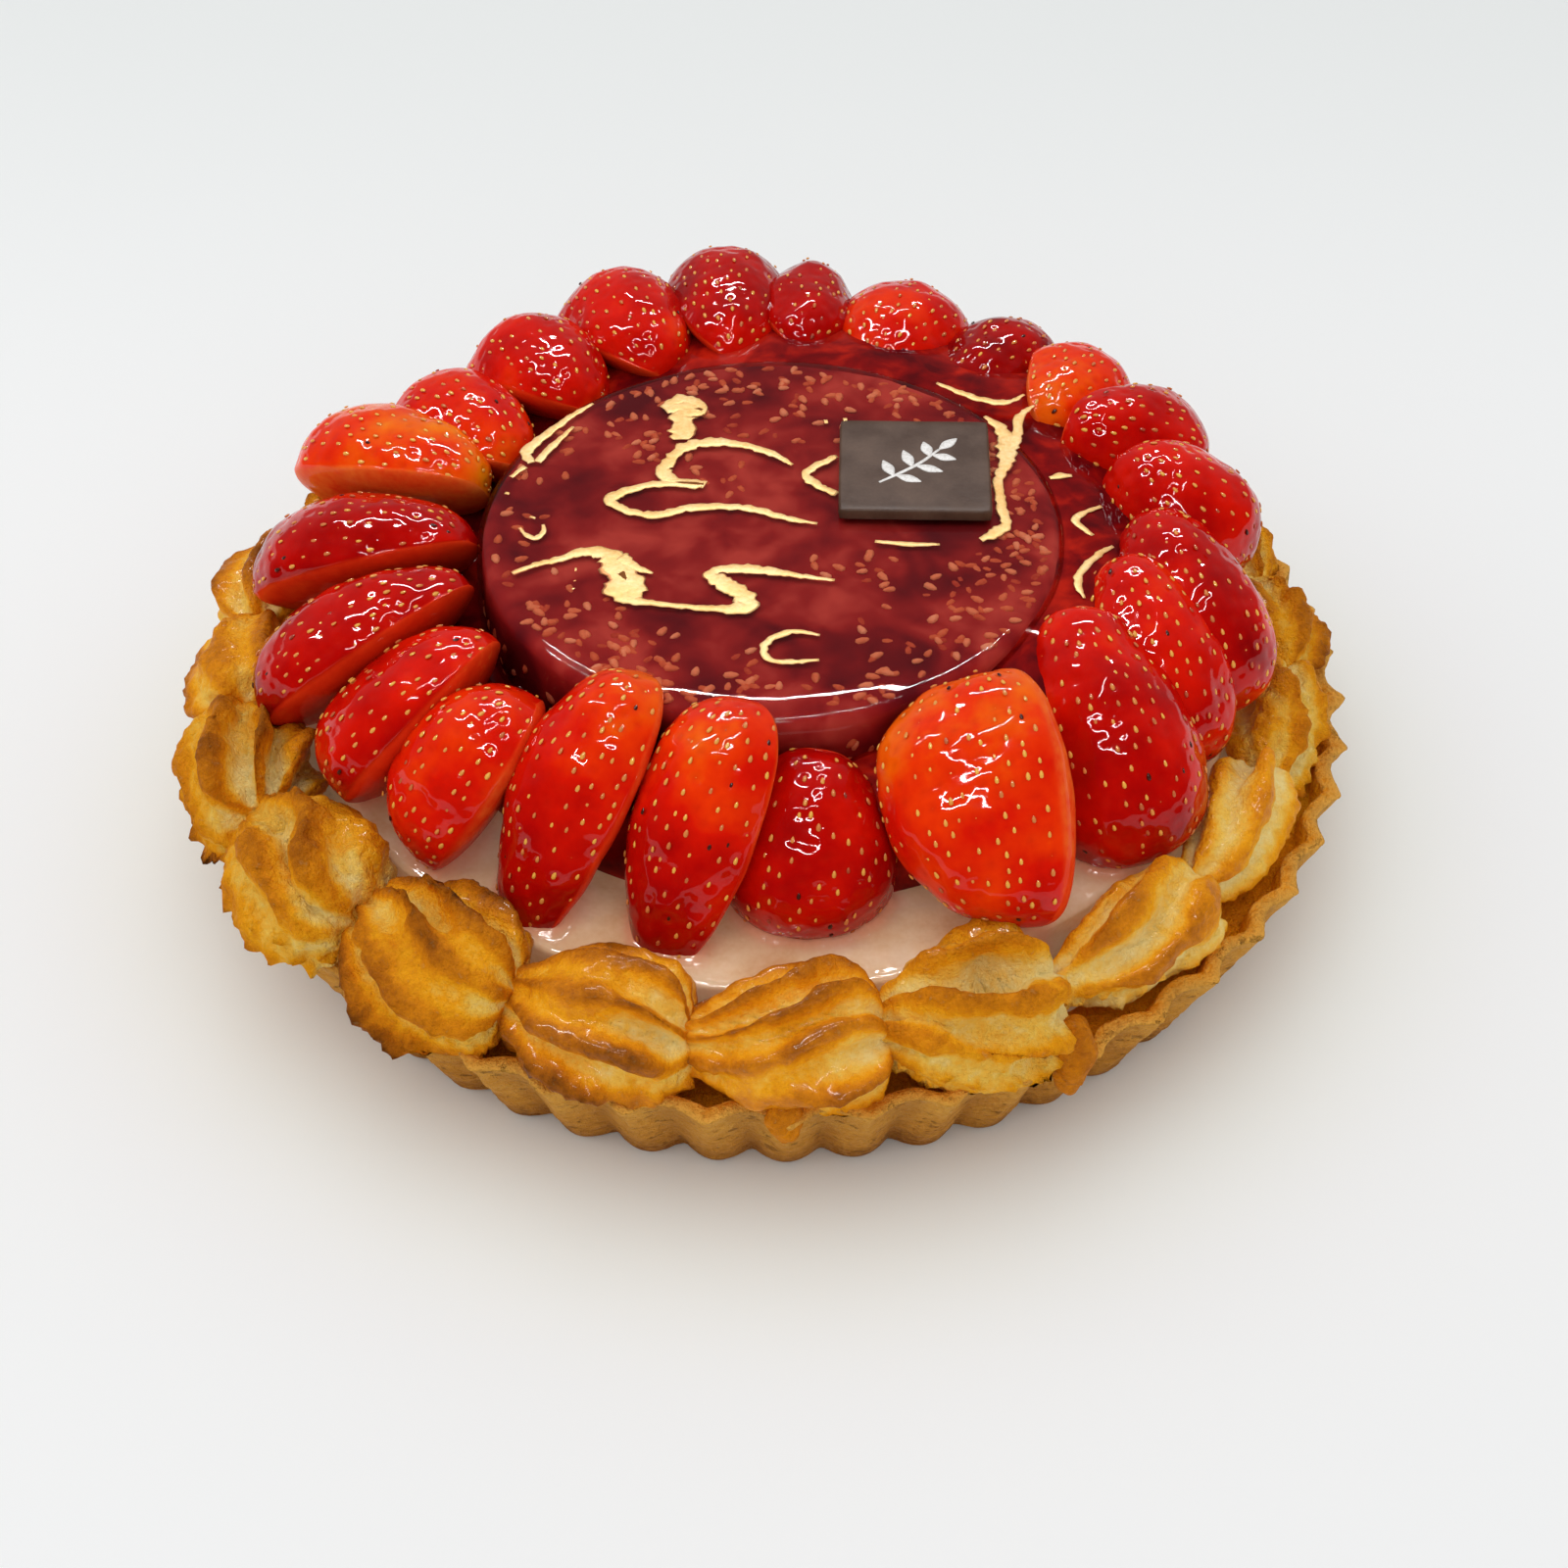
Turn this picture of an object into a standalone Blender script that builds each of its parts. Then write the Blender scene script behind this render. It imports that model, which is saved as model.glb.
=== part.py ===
"""Fluted tart: custard, a ring of piped choux shells, strawberry halves and a raspberry jelly disc.

The base is at z = 0, the disc's axis is Z, and azimuths run counter-clockwise from +X.
"""

import math
from collections import namedtuple

import bmesh
import bpy
from mathutils import Matrix, Vector

MM = 0.001
GAP = 0.3 * MM

# Pastry case
FLUTES = 51
STEPS_PER_FLUTE = 4
FIRST_CREST = math.radians(-117.0)
BASE_RADIUS = 89.4 * MM
RIM_RADIUS = 100.0 * MM
RIM_HEIGHT = 22.6 * MM
FLUTE_DEPTH = 3.2 * MM
WALL = 3.6 * MM
FLOOR = 4.0 * MM

# Custard
CUSTARD_TOP = 29.5 * MM
CUSTARD_RADIUS = 76.0 * MM
LEDGE_HEIGHT = 17.0 * MM
LEDGE_RADIUS = 88.8 * MM
CUSTARD_FOOT_RADIUS = 84.4 * MM
ROUND_STEPS = 36

# Jelly disc and its plaque
JELLY_RADIUS = 48.5 * MM
JELLY_BULGE = 1.2 * MM
JELLY_TOP = 55.9 * MM
JELLY_EDGE = 3.0 * MM
JELLY_STEPS = 36
PLAQUE_SIDE = 25.5 * MM
PLAQUE_THICK = 2.0 * MM
PLAQUE_PLACE = (24.2 * MM, 12.5 * MM)
PLAQUE_TURN = math.radians(-1.8)

# Strawberry halves: where the broad foot and the head are (azimuth in degrees, radius and
# height in millimetres), how wide and deep the half is, and how far its dome turns outwards
Berry = namedtuple("Berry", "foot head wide deep turn taper")
BERRIES = (
    Berry((219, 77, 31), (223, 57, 56), 25, 19, 40, 0.05),
    Berry((236, 77, 28), (239, 46, 60), 25, 18, 40, -0.12),
    Berry((253, 75, 28), (261, 47, 60), 24, 17, 40, -0.15),
    Berry((273, 69, 28), (277, 55, 54), 27, 17, 80, 0.28),
    Berry((292.8, 79.5, 34.8), (301.5, 47.5, 57), 25, 30, -4, -0.09),
    Berry((315, 81, 33), (330, 53, 60), 27, 18, 45, 0.25),
    Berry((328, 75, 36), (347, 58, 60), 25, 17, 30, 0.25),
    Berry((338, 78, 39), (360, 62, 60), 25, 17, 25, 0.25),
    Berry((362, 79, 40), (371, 62, 60), 26, 17, 20, 0.25),
    Berry((381, 82, 42), (382, 58, 58), 25, 16, 25, 0.25),
    Berry((400, 81, 45), (390, 60, 57), 22, 17, 45, 0.25),
    Berry((412, 83, 45), (411, 58, 54), 23, 16, 60, 0.22),
    Berry((429, 84, 46), (427, 57, 55), 28, 18, 75, 0.20),
    Berry((444, 87, 46), (441, 57, 56), 20, 15, 50, 0.20),
    Berry((454, 90, 47), (454, 55, 57), 24, 18, 50, 0.25),
    Berry((470, 87, 47), (469, 55, 57), 25, 19, 55, 0.25),
    Berry((486, 80, 47), (487, 52, 57), 25, 19, 50, 0.25),
    Berry((503, 78, 46), (508, 50, 56), 25, 19, 45, 0.25),
    Berry((514, 87, 42), (519, 53, 58), 29, 19, 36, 0.25),
    Berry((532, 87, 38), (537, 51, 58), 29, 18, 40, 0.25),
    Berry((552, 87, 35), (550, 53, 57), 30, 17, 42, 0.25),
    Berry((566, 80, 33), (567, 54, 57), 29, 17, 38, 0.25),
)
BERRY_SIDES = 10
BERRY_ROWS = 7
BERRY_DOME = 0.75
BERRY_CUT_BULGE = 0.18
BERRY_SETBACK = 0.35
BERRY_BLUNTNESS = 0.8

# Piped choux shells: azimuth in degrees, then in millimetres the radius and height of the middle,
# the length along the ring, the width and the height. The back ones are evenly spaced.
Shell = namedtuple("Shell", "azimuth radius height length width tall")
FRONT_SHELLS = (
    Shell(268.7, 87.5, 27.5, 38, 21.0, 20),
    Shell(286.5, 87.8, 27.5, 38, 22.0, 22),
    Shell(306.5, 88.0, 27.5, 38, 14.5, 20),
    Shell(326.0, 86.6, 27.5, 38, 13.0, 18),
    Shell(343.5, 87.0, 26.5, 37, 14.0, 15),
)
BACK_SHELL = Shell(0.0, 87.2, 28.0, 33, 16.0, 20)
BACK_SHELL_COUNT = 10
LEFT_SHELLS = (
    Shell(528.0, 89.0, 28.5, 31, 18.5, 19),
    Shell(542.5, 89.0, 29.0, 32, 20.0, 21),
    Shell(557.5, 91.6, 29.0, 34, 20.5, 23),
    Shell(573.5, 91.4, 29.0, 39, 23.0, 23),
    Shell(591.5, 88.8, 28.0, 40, 22.0, 22),
    Shell(610.0, 87.5, 27.5, 38, 21.0, 21),
)
SHELL_SIDES = 10
SHELL_ROWS = 8
SHELL_RIDGES = 5
RIM_APPROACH = 86.5 * MM
RIDGE_DEPTH = 0.15
SHELL_SWELL = 0.36
SHELL_TWIST = math.radians(30.0)

# Colour, roughness and metallic of each material
LOOKS = {
    "pastry": ((0.47, 0.21, 0.055), 0.62, 0.0),
    "choux": ((0.70, 0.36, 0.075), 0.55, 0.0),
    "custard": ((0.70, 0.53, 0.38), 0.30, 0.0),
    "strawberry": ((0.62, 0.015, 0.006), 0.16, 0.0),
    "jelly": ((0.19, 0.012, 0.014), 0.08, 0.0),
    "chocolate": ((0.11, 0.062, 0.038), 0.38, 0.0),
}


def clear_scene():
    """Remove whatever the scene starts with."""
    for item in list(bpy.data.objects):
        bpy.data.objects.remove(item, do_unlink=True)


def make_material(name):
    """Make the Principled material called name from LOOKS."""
    colour, roughness, metallic = LOOKS[name]
    material = bpy.data.materials.new(name)
    material.use_nodes = True
    shader = material.node_tree.nodes["Principled BSDF"]
    shader.inputs["Base Color"].default_value = (*colour, 1.0)
    shader.inputs["Roughness"].default_value = roughness
    shader.inputs["Metallic"].default_value = metallic
    material.diffuse_color = (*colour, 1.0)
    return material


def polar(azimuth, radius, height):
    """Return the point at an azimuth in radians, a radius and a height."""
    return Vector((radius * math.cos(azimuth), radius * math.sin(azimuth), height))


def mm_polar(place):
    """Return the point at (degrees, millimetres, millimetres)."""
    azimuth, radius, height = place
    return polar(math.radians(azimuth), radius * MM, height * MM)


def finish_mesh(name, bm, collection, material=None, sharp=math.radians(40.0)):
    """Turn bm into a named object in collection, with faces outwards."""
    bmesh.ops.recalc_face_normals(bm, faces=bm.faces)
    if bm.calc_volume(signed=True) < 0.0:
        bmesh.ops.reverse_faces(bm, faces=bm.faces)
    mesh = bpy.data.meshes.new(name)
    bm.to_mesh(mesh)
    bm.free()
    if material:
        mesh.materials.append(material)
    mesh.shade_smooth()
    mesh.set_sharp_from_angle(angle=sharp)
    item = bpy.data.objects.new(name, mesh)
    collection.objects.link(item)
    return item


def bridge_rings(bm, rings):
    """Join each closed ring of vertices to the next one."""
    count = len(rings[0])
    for lower, upper in zip(rings, rings[1:]):
        for step in range(count):
            after = (step + 1) % count
            bm.faces.new((lower[step], lower[after], upper[after], upper[step]))


def revolved(bm, profile, steps):
    """Turn a profile of (radius, height) points from axis to axis once round Z."""
    rings = []
    for radius, height in profile[1:-1]:
        rings.append([bm.verts.new(polar(math.tau * step / steps, radius, height)) for step in range(steps)])
    bridge_rings(bm, rings)
    for ring, (_, height) in ((rings[0], profile[0]), (rings[-1], profile[-1])):
        middle = bm.verts.new((0.0, 0.0, height))
        for step in range(steps):
            bm.faces.new((middle, ring[step], ring[(step + 1) % steps]))


def flute_wave(azimuth):
    """Return 1 on a flute's crest and 0 in the trough beside it."""
    return 0.5 + 0.5 * math.cos(FLUTES * (azimuth - FIRST_CREST))


def build_crust(collection, material):
    """Fluted shell: outer wall up to the rim, inner wall down to a flat floor."""
    bm = bmesh.new()
    outer_rows = (
        (0.0, BASE_RADIUS, 0.8),
        (0.55 * RIM_HEIGHT, 0.46 * BASE_RADIUS + 0.54 * RIM_RADIUS, 1.0),
        (RIM_HEIGHT, RIM_RADIUS, 1.0),
    )
    inner_rows = (
        (RIM_HEIGHT - 0.5 * MM, RIM_RADIUS - WALL, 0.75),
        (FLOOR, BASE_RADIUS + 0.8 * MM - WALL, 0.25),
    )
    count = FLUTES * STEPS_PER_FLUTE
    rings = []
    for height, radius, share in outer_rows + inner_rows:
        ring = []
        for step in range(count):
            azimuth = FIRST_CREST + math.tau * step / count
            dent = share * FLUTE_DEPTH * (1.0 - flute_wave(azimuth))
            ring.append(bm.verts.new(polar(azimuth, radius - dent, height)))
        rings.append(ring)
    bridge_rings(bm, rings)
    bm.faces.new(rings[0][::-1])
    bm.faces.new(rings[-1])
    return finish_mesh("crust", bm, collection, material)


def build_custard(collection, material):
    """Custard filling: a disc with a ledge below the choux ring."""
    bottom = FLOOR + GAP
    profile = (
        (0.0, bottom),
        (CUSTARD_FOOT_RADIUS, bottom),
        (LEDGE_RADIUS, LEDGE_HEIGHT),
        (CUSTARD_RADIUS, LEDGE_HEIGHT),
        (CUSTARD_RADIUS, CUSTARD_TOP - 1.0 * MM),
        (CUSTARD_RADIUS - 1.0 * MM, CUSTARD_TOP),
        (0.0, CUSTARD_TOP),
    )
    bm = bmesh.new()
    revolved(bm, profile, ROUND_STEPS)
    return finish_mesh("custard", bm, collection, material)


def jelly_profile(grow):
    """Profile of the jelly disc, grown outwards by grow."""
    profile = [
        (0.0, CUSTARD_TOP + GAP - grow),
        (JELLY_RADIUS + grow, CUSTARD_TOP + GAP - grow),
        (JELLY_RADIUS + JELLY_BULGE + grow, 0.55 * CUSTARD_TOP + 0.45 * JELLY_TOP),
    ]
    turns = 3
    for turn in range(turns + 1):
        angle = 0.5 * math.pi * turn / turns
        radius = JELLY_RADIUS + 0.4 * JELLY_BULGE - JELLY_EDGE * (1.0 - math.cos(angle)) + grow
        height = JELLY_TOP - JELLY_EDGE * (1.0 - math.sin(angle)) + grow
        profile.append((radius, height))
    profile.append((0.0, JELLY_TOP + grow))
    return profile


def build_jelly(collection, material):
    """Raspberry jelly disc with a rounded top edge."""
    bm = bmesh.new()
    revolved(bm, jelly_profile(0.0), JELLY_STEPS)
    return finish_mesh("jelly", bm, collection, material)


def build_plaque(collection, material):
    """Thin square chocolate plaque lying on the jelly."""
    bm = bmesh.new()
    bmesh.ops.create_cube(bm, size=1.0)
    scale = Matrix.Diagonal((PLAQUE_SIDE, PLAQUE_SIDE, PLAQUE_THICK, 1.0))
    turn = Matrix.Rotation(PLAQUE_TURN, 4, "Z")
    place = Matrix.Translation((*PLAQUE_PLACE, JELLY_TOP + GAP + 0.5 * PLAQUE_THICK))
    bm.transform(place @ turn @ scale)
    return finish_mesh("plaque", bm, collection, material)


def berry_axes(berry):
    """Return a berry's middle, length and the directions across it, out of its dome and along it."""
    foot = mm_polar(berry.foot)
    head = mm_polar(berry.head)
    middle = (foot + head) / 2.0
    along = (head - foot).normalized()
    outwards = Vector((middle.x, middle.y, 0.0)).normalized()
    clockwise = outwards.cross(Vector((0.0, 0.0, 1.0)))
    clockwise = (clockwise - along * clockwise.dot(along)).normalized()
    raised = along.cross(clockwise)
    if raised.dot(outwards) < 0.0:
        raised.negate()
    turn = math.radians(berry.turn)
    dome = math.cos(turn) * clockwise + math.sin(turn) * raised
    return middle, (head - foot).length, along.cross(dome), dome, along


def berry_bmesh(berry, grow):
    """Strawberry half: a domed skin side and a nearly flat cut side."""
    middle, length, across, dome, along = berry_axes(berry)
    wide = berry.wide * MM
    deep = berry.deep * MM
    bm = bmesh.new()
    bmesh.ops.create_uvsphere(bm, u_segments=BERRY_SIDES, v_segments=BERRY_ROWS, radius=1.0)
    for vert in bm.verts:
        unit = vert.co.copy()
        girth = math.hypot(unit.x, unit.y)
        swell = girth ** (BERRY_BLUNTNESS - 1.0) * (1.0 - berry.taper * unit.z) if girth > 1e-6 else 0.0
        side = unit.x * swell * (0.5 * wide + grow)
        share = BERRY_DOME if unit.y > 0.0 else BERRY_CUT_BULGE
        rise = unit.y * swell * (share * deep + grow)
        lift = unit.z * (0.5 * length + grow)
        vert.co = middle + across * side + dome * (rise - BERRY_SETBACK * deep) + along * lift
        vert.co.z = max(vert.co.z, CUSTARD_TOP + GAP - grow)
    return bm


def all_shells():
    """Return every shell in order, with the back ones spread between the front and left ones."""
    start = FRONT_SHELLS[-1].azimuth
    step = (LEFT_SHELLS[0].azimuth - start) / (BACK_SHELL_COUNT + 1)
    back = [BACK_SHELL._replace(azimuth=start + step * place) for place in range(1, BACK_SHELL_COUNT + 1)]
    return [*FRONT_SHELLS, *back, *LEFT_SHELLS]


def shell_bmesh(shell, grow):
    """Piped shell: a swelling ridged head that tapers to a tail clockwise of it.

    A grown shell keeps to the ridges' crests all round.
    """
    azimuth = math.radians(shell.azimuth)
    bm = bmesh.new()
    bmesh.ops.create_uvsphere(bm, u_segments=SHELL_SIDES, v_segments=SHELL_ROWS, radius=1.0)
    for vert in bm.verts:
        unit = vert.co.copy()
        girth = math.hypot(unit.x, unit.y)
        around = math.atan2(unit.y, unit.x)
        wave = 1.0 if grow else math.cos(SHELL_RIDGES * around)
        ridge = 1.0 + RIDGE_DEPTH * wave
        swell = girth * ridge * (1.0 + SHELL_SWELL * unit.z)
        around += SHELL_TWIST * unit.z
        out = swell * math.cos(around) * (0.5 * shell.width * MM + grow)
        up = swell * math.sin(around) * (0.5 * shell.tall * MM + grow)
        along = unit.z * (0.5 * shell.length * MM + grow)
        middle = shell.radius * MM
        radius = max(middle + out, CUSTARD_RADIUS + GAP - grow)
        rest = RIM_HEIGHT if radius > RIM_APPROACH else LEDGE_HEIGHT
        height = max(shell.height * MM + up, rest + GAP - grow)
        vert.co = polar(azimuth + along / middle, radius, height)
    return bm


def jelly_cutter_bmesh():
    """Jelly disc grown by the gap."""
    bm = bmesh.new()
    revolved(bm, jelly_profile(GAP), JELLY_STEPS)
    return bm


def make_cutter(name, bm, collection):
    """Make a hidden wire cutter."""
    cutter = finish_mesh(name, bm, collection)
    cutter.display_type = "WIRE"
    cutter.hide_render = True
    return cutter


def boxes_meet(one, other):
    """Tell whether the bounding boxes of two objects overlap."""
    spans = []
    for item in (one, other):
        corners = [Vector(corner) for corner in item.bound_box]
        spans.append([(min(c[axis] for c in corners), max(c[axis] for c in corners)) for axis in range(3)])
    return all(a[0] < b[1] and b[0] < a[1] for a, b in zip(*spans))


def carve(piece, cutters):
    """Cut piece with each cutter whose box meets it."""
    for cutter in cutters:
        if not boxes_meet(piece, cutter):
            continue
        cut = piece.modifiers.new(cutter.name, "BOOLEAN")
        cut.operation = "DIFFERENCE"
        cut.solver = "EXACT"
        cut.object = cutter


def build_shells(collection, cutters, material):
    """Make the choux shells, each carved by the head of the shell its tail tucks beside."""
    shells = all_shells()
    grown = []
    for number, shell in enumerate(shells, 1):
        grown.append(make_cutter(f"around_choux_{number:02d}", shell_bmesh(shell, GAP), cutters))
    for number, shell in enumerate(shells, 1):
        piece = finish_mesh(f"choux_{number:02d}", shell_bmesh(shell, 0.0), collection, material)
        carve(piece, [grown[number - 2]])
    return grown


def build_berries(collection, cutters, material, obstacles):
    """Make the strawberry halves, each carved by the next one round and by what it leans on."""
    grown = []
    for number, berry in enumerate(BERRIES, 1):
        grown.append(make_cutter(f"around_berry_{number:02d}", berry_bmesh(berry, GAP), cutters))
    for number, berry in enumerate(BERRIES, 1):
        piece = finish_mesh(f"berry_{number:02d}", berry_bmesh(berry, 0.0), collection, material)
        carve(piece, [grown[number % len(BERRIES)]] + obstacles)


def main():
    clear_scene()
    tart = bpy.data.collections.new("strawberry_raspberry_tart")
    cutters = bpy.data.collections.new("cutters")
    bpy.context.scene.collection.children.link(tart)
    bpy.context.scene.collection.children.link(cutters)
    materials = {name: make_material(name) for name in LOOKS}
    build_crust(tart, materials["pastry"])
    build_custard(tart, materials["custard"])
    build_jelly(tart, materials["jelly"])
    build_plaque(tart, materials["chocolate"])
    around_jelly = make_cutter("around_jelly", jelly_cutter_bmesh(), cutters)
    around_shells = build_shells(tart, cutters, materials["choux"])
    build_berries(tart, cutters, materials["strawberry"], [around_jelly] + around_shells)


main()
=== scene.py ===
"""Strawberry and raspberry jelly tart: its looks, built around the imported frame.

Lengths are in millimetres until a mesh is made. Azimuths run counter-clockwise from +X,
and the camera stands on the -Y side.
"""

import math
from collections import namedtuple

import bpy
import numpy as np
from mathutils import Matrix, Vector
from mathutils.kdtree import KDTree


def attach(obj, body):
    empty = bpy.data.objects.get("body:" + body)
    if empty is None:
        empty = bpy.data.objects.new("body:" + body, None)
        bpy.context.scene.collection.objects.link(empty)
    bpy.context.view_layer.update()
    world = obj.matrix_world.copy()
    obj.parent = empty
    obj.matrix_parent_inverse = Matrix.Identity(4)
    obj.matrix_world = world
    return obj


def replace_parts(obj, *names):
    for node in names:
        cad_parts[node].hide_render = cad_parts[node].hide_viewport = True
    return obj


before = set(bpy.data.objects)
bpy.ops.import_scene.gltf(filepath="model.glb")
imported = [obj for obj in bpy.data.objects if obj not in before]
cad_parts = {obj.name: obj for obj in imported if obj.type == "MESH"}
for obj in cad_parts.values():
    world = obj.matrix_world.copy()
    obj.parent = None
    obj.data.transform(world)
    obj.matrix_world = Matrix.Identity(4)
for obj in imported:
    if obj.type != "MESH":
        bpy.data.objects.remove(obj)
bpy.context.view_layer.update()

MM = 0.001

# Pastry case
FLUTES = 51
FIRST_CREST = math.radians(-117.0)
BASE_RADIUS = 89.4
RIM_RADIUS = 100.0
RIM_HEIGHT = 22.6
FLUTE_DEPTH = 3.2
WALL = 3.6
FLOOR = 4.0

# Custard and jelly
CUSTARD_TOP = 29.5
CUSTARD_RADIUS = 76.0
LEDGE_HEIGHT = 17.0
LEDGE_RADIUS = 88.8
CUSTARD_FOOT_RADIUS = 84.4
JELLY_RADIUS = 48.5
JELLY_BULGE = 1.2
JELLY_TOP = 55.9
JELLY_EDGE = 3.0
JELLY_SKIN = 0.9
PLAQUE_SIDE = 25.5
PLAQUE_THICK = 2.0
PLAQUE_PLACE = (24.2, 12.5)
PLAQUE_TURN = math.radians(-1.8)


# --- node trees


class Wire:
    """A node's socket; sums written with it add the Math nodes that work them out."""

    def __init__(self, plan, socket):
        self.plan = plan
        self.socket = socket

    def sum(self, operation, *values):
        return self.plan.add("ShaderNodeMath", dict(enumerate(values)), operation=operation)

    def __rsub__(self, other):
        return self.sum("SUBTRACT", other, self)


SUMS = {"add": "ADD", "sub": "SUBTRACT", "mul": "MULTIPLY", "truediv": "DIVIDE", "pow": "POWER"}
for sign, operation in SUMS.items():
    setattr(Wire, f"__{sign}__", lambda wire, other, way=operation: wire.sum(way, wire, other))


def ink(code):
    """Linear colour from a six-digit display colour."""
    parts = [int(code[at : at + 2], 16) / 255.0 for at in (0, 2, 4)]
    dark, light = 1.0 / 12.92, 1.0 / 1.055
    linear = [c * dark if c <= 0.04045 else ((c + 0.055) * light) ** 2.4 for c in parts]
    return (*linear, 1.0)


class Plan:
    """A node tree, filled by node type, settings and inputs."""

    def __init__(self, tree):
        self.tree = tree
        tree.nodes.clear()

    def add(self, kind, inputs=None, out=0, **settings):
        """Add a node; its inputs are wires, plain values or six-digit display colours."""
        node = self.tree.nodes.new(kind)
        for name, value in settings.items():
            setattr(node, name, value)
        for name, value in (inputs or {}).items():
            socket = node.inputs[name]
            if isinstance(value, Wire):
                self.tree.links.new(value.socket, socket)
            else:
                coded = socket.type == "RGBA" and isinstance(value, str)
                socket.default_value = ink(value) if coded else value
        return Wire(self, node.outputs[out]) if node.outputs else node

    def mark(self, name):
        """Value that a mesh's points carry under this name."""
        return self.add("ShaderNodeAttribute", attribute_name=name, out="Fac")

    def place(self):
        return self.add("ShaderNodeTexCoord", out="Object")

    def axis(self, vector, name):
        return self.add("ShaderNodeSeparateXYZ", {"Vector": vector}, out=name)

    def clouds(self, size, detail=2.0, rough=0.5, stretch=None, bend=0.0):
        """Noise in lumps of about this many millimetres."""
        place = self.place()
        if stretch:
            place = self.add("ShaderNodeMapping", {"Vector": place, "Scale": stretch})
        values = {"Vector": place, "Scale": 1.0 / (size * MM), "Distortion": bend}
        return self.add("ShaderNodeTexNoise", {**values, "Detail": detail, "Roughness": rough})

    def between(self, value, low, high, start=0.0, end=1.0):
        """Value that runs smoothly from start to end while another runs from low to high."""
        values = {"From Min": low, "From Max": high, "To Min": start, "To Max": end}
        values["Value"] = value
        return self.add("ShaderNodeMapRange", values, interpolation_type="SMOOTHSTEP")

    def mix(self, share, first, second):
        return self.add("ShaderNodeMix", {0: share, 6: first, 7: second}, 2, data_type="RGBA")

    def ramp(self, value, *stops):
        """Colour that runs through stops of (position, display colour)."""
        wire = self.add("ShaderNodeValToRGB", {"Fac": value})
        points = wire.socket.node.color_ramp.elements
        points.remove(points[1])
        points[0].position, points[0].color = stops[0][0], ink(stops[0][1])
        for position, code in stops[1:]:
            points.new(position).color = ink(code)
        return wire

    def relief(self, height, side_shade, strength=1.0):
        """Bump from a height of 0 to 1 that stands for depth millimetres."""
        values = {"Height": height, "Distance": side_shade * MM, "Strength": strength}
        return self.add("ShaderNodeBump", values, out="Normal")


def new_finish(name):
    """Plan of a new material."""
    material = bpy.data.materials.new(name)
    material.use_nodes = True
    plan = Plan(material.node_tree)
    plan.material = material
    return plan


def coat(plan, **inputs):
    """Finish a material with one Principled shader and return it."""
    values = {name.replace("_", " "): value for name, value in inputs.items()}
    shader = plan.add("ShaderNodeBsdfPrincipled", values)
    plan.add("ShaderNodeOutputMaterial", {"Surface": shader})
    return plan.material


# --- finishes


def crust_finish():
    """Baked short pastry: brown outside, darker at the foot, golden lip; painted shade darkens the
    flutes' hollows and a painted highlight lightens the rim's edge.
    """
    plan = new_finish("baked_crust")
    hollow, lift, inside, edge = (plan.mark(name) for name in ("hollow", "lift", "inside", "edge"))
    patch = plan.clouds(14.0, 3.0)
    speck = plan.clouds(1.1, 3.0, 0.7)
    layers = plan.clouds(5.0, 5.0, 0.75, stretch=(1.0, 1.0, 2.6))
    wall = plan.ramp(
        lift * 0.55 + patch * 0.5 - 0.06 + (layers - 0.5) * 0.7 + (speck - 0.5) * 0.5,
        (0.10, "985A1C"), (0.45, "CE8C34"), (0.80, "E8AA48"),
    )
    # Painted shade: the wall is darkened in the hollows of the flutes.
    wall = plan.mix(plan.between(hollow, 0.35, 1.0) * 0.42, wall, "9C622C")
    cracks = plan.clouds(3.6, 4.0, 0.7, stretch=(1.0, 1.0, 2.2))
    cracks = plan.between(cracks, 0.40, 0.33) * (1.0 - inside)
    wall = plan.mix(cracks * 0.45, wall, "7A4618")
    lip = patch * 0.8 + (speck - 0.5) * 0.5 + 0.1
    lip = plan.ramp(lip, (0.25, "CC7204"), (0.50, "F49608"), (0.78, "FFB418"))
    colour = plan.mix(inside, wall, lip)
    # Painted highlight: a lighter tan along the rim's edge, broken up by the specks.
    colour = plan.mix(edge * plan.between(speck, 0.35, 0.6, 0.10, 0.75), colour, "F4B04A")
    colour = plan.mix(plan.between(speck, 0.60, 0.72) * 0.35, colour, "8A5020")
    height = speck * 1.1 + layers * 0.35 * (1.0 - inside) + plan.clouds(3.5, 3.0) * 0.8
    height = height - cracks * 0.6
    return coat(
        plan, Base_Color=colour,
        Roughness=plan.between(speck + inside * 0.2, 0.3, 0.8, 0.62, 0.42),
        Normal=plan.relief(height, 1.2), Specular_IOR_Level=0.05,
    )


def choux_finish():
    """Baked choux paste: toasted ridges, golden flanks and pale creases."""
    plan = new_finish("baked_choux")
    toast, glaze, grain = (plan.mark(name) for name in ("toast", "glaze", "grain"))
    patch = plan.clouds(8.0, 3.0, 0.55, bend=0.3)
    blister = plan.clouds(1.5, 3.0, 0.65)
    colour = plan.ramp(
        toast + (patch - 0.5) * 0.52 + (blister - 0.5) * 0.40,
        (0.02, "FFE496"), (0.22, "FFCC56"), (0.40, "FCAA18"),
        (0.57, "E48A10"), (0.78, "B4640C"), (1.00, "743C08"),
    )
    colour = plan.mix(plan.between(blister, 0.62, 0.75) * 0.15, colour, "F4D48A")
    height = (blister * 0.8 + plan.clouds(0.7, 3.0, 0.7) * 0.6) * grain
    height = height + plan.clouds(4.0, 3.0) * 0.45
    return coat(
        plan, Base_Color=colour,
        Roughness=plan.between(blister - glaze * 0.5, 0.1, 0.7, 0.34, 0.56),
        Normal=plan.relief(height, 1.0),
        Coat_Weight=glaze * plan.between(patch, 0.35, 0.7, 0.2, 0.9), Coat_Roughness=0.11,
        Coat_IOR=1.38, Specular_IOR_Level=0.03,
    )


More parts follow.
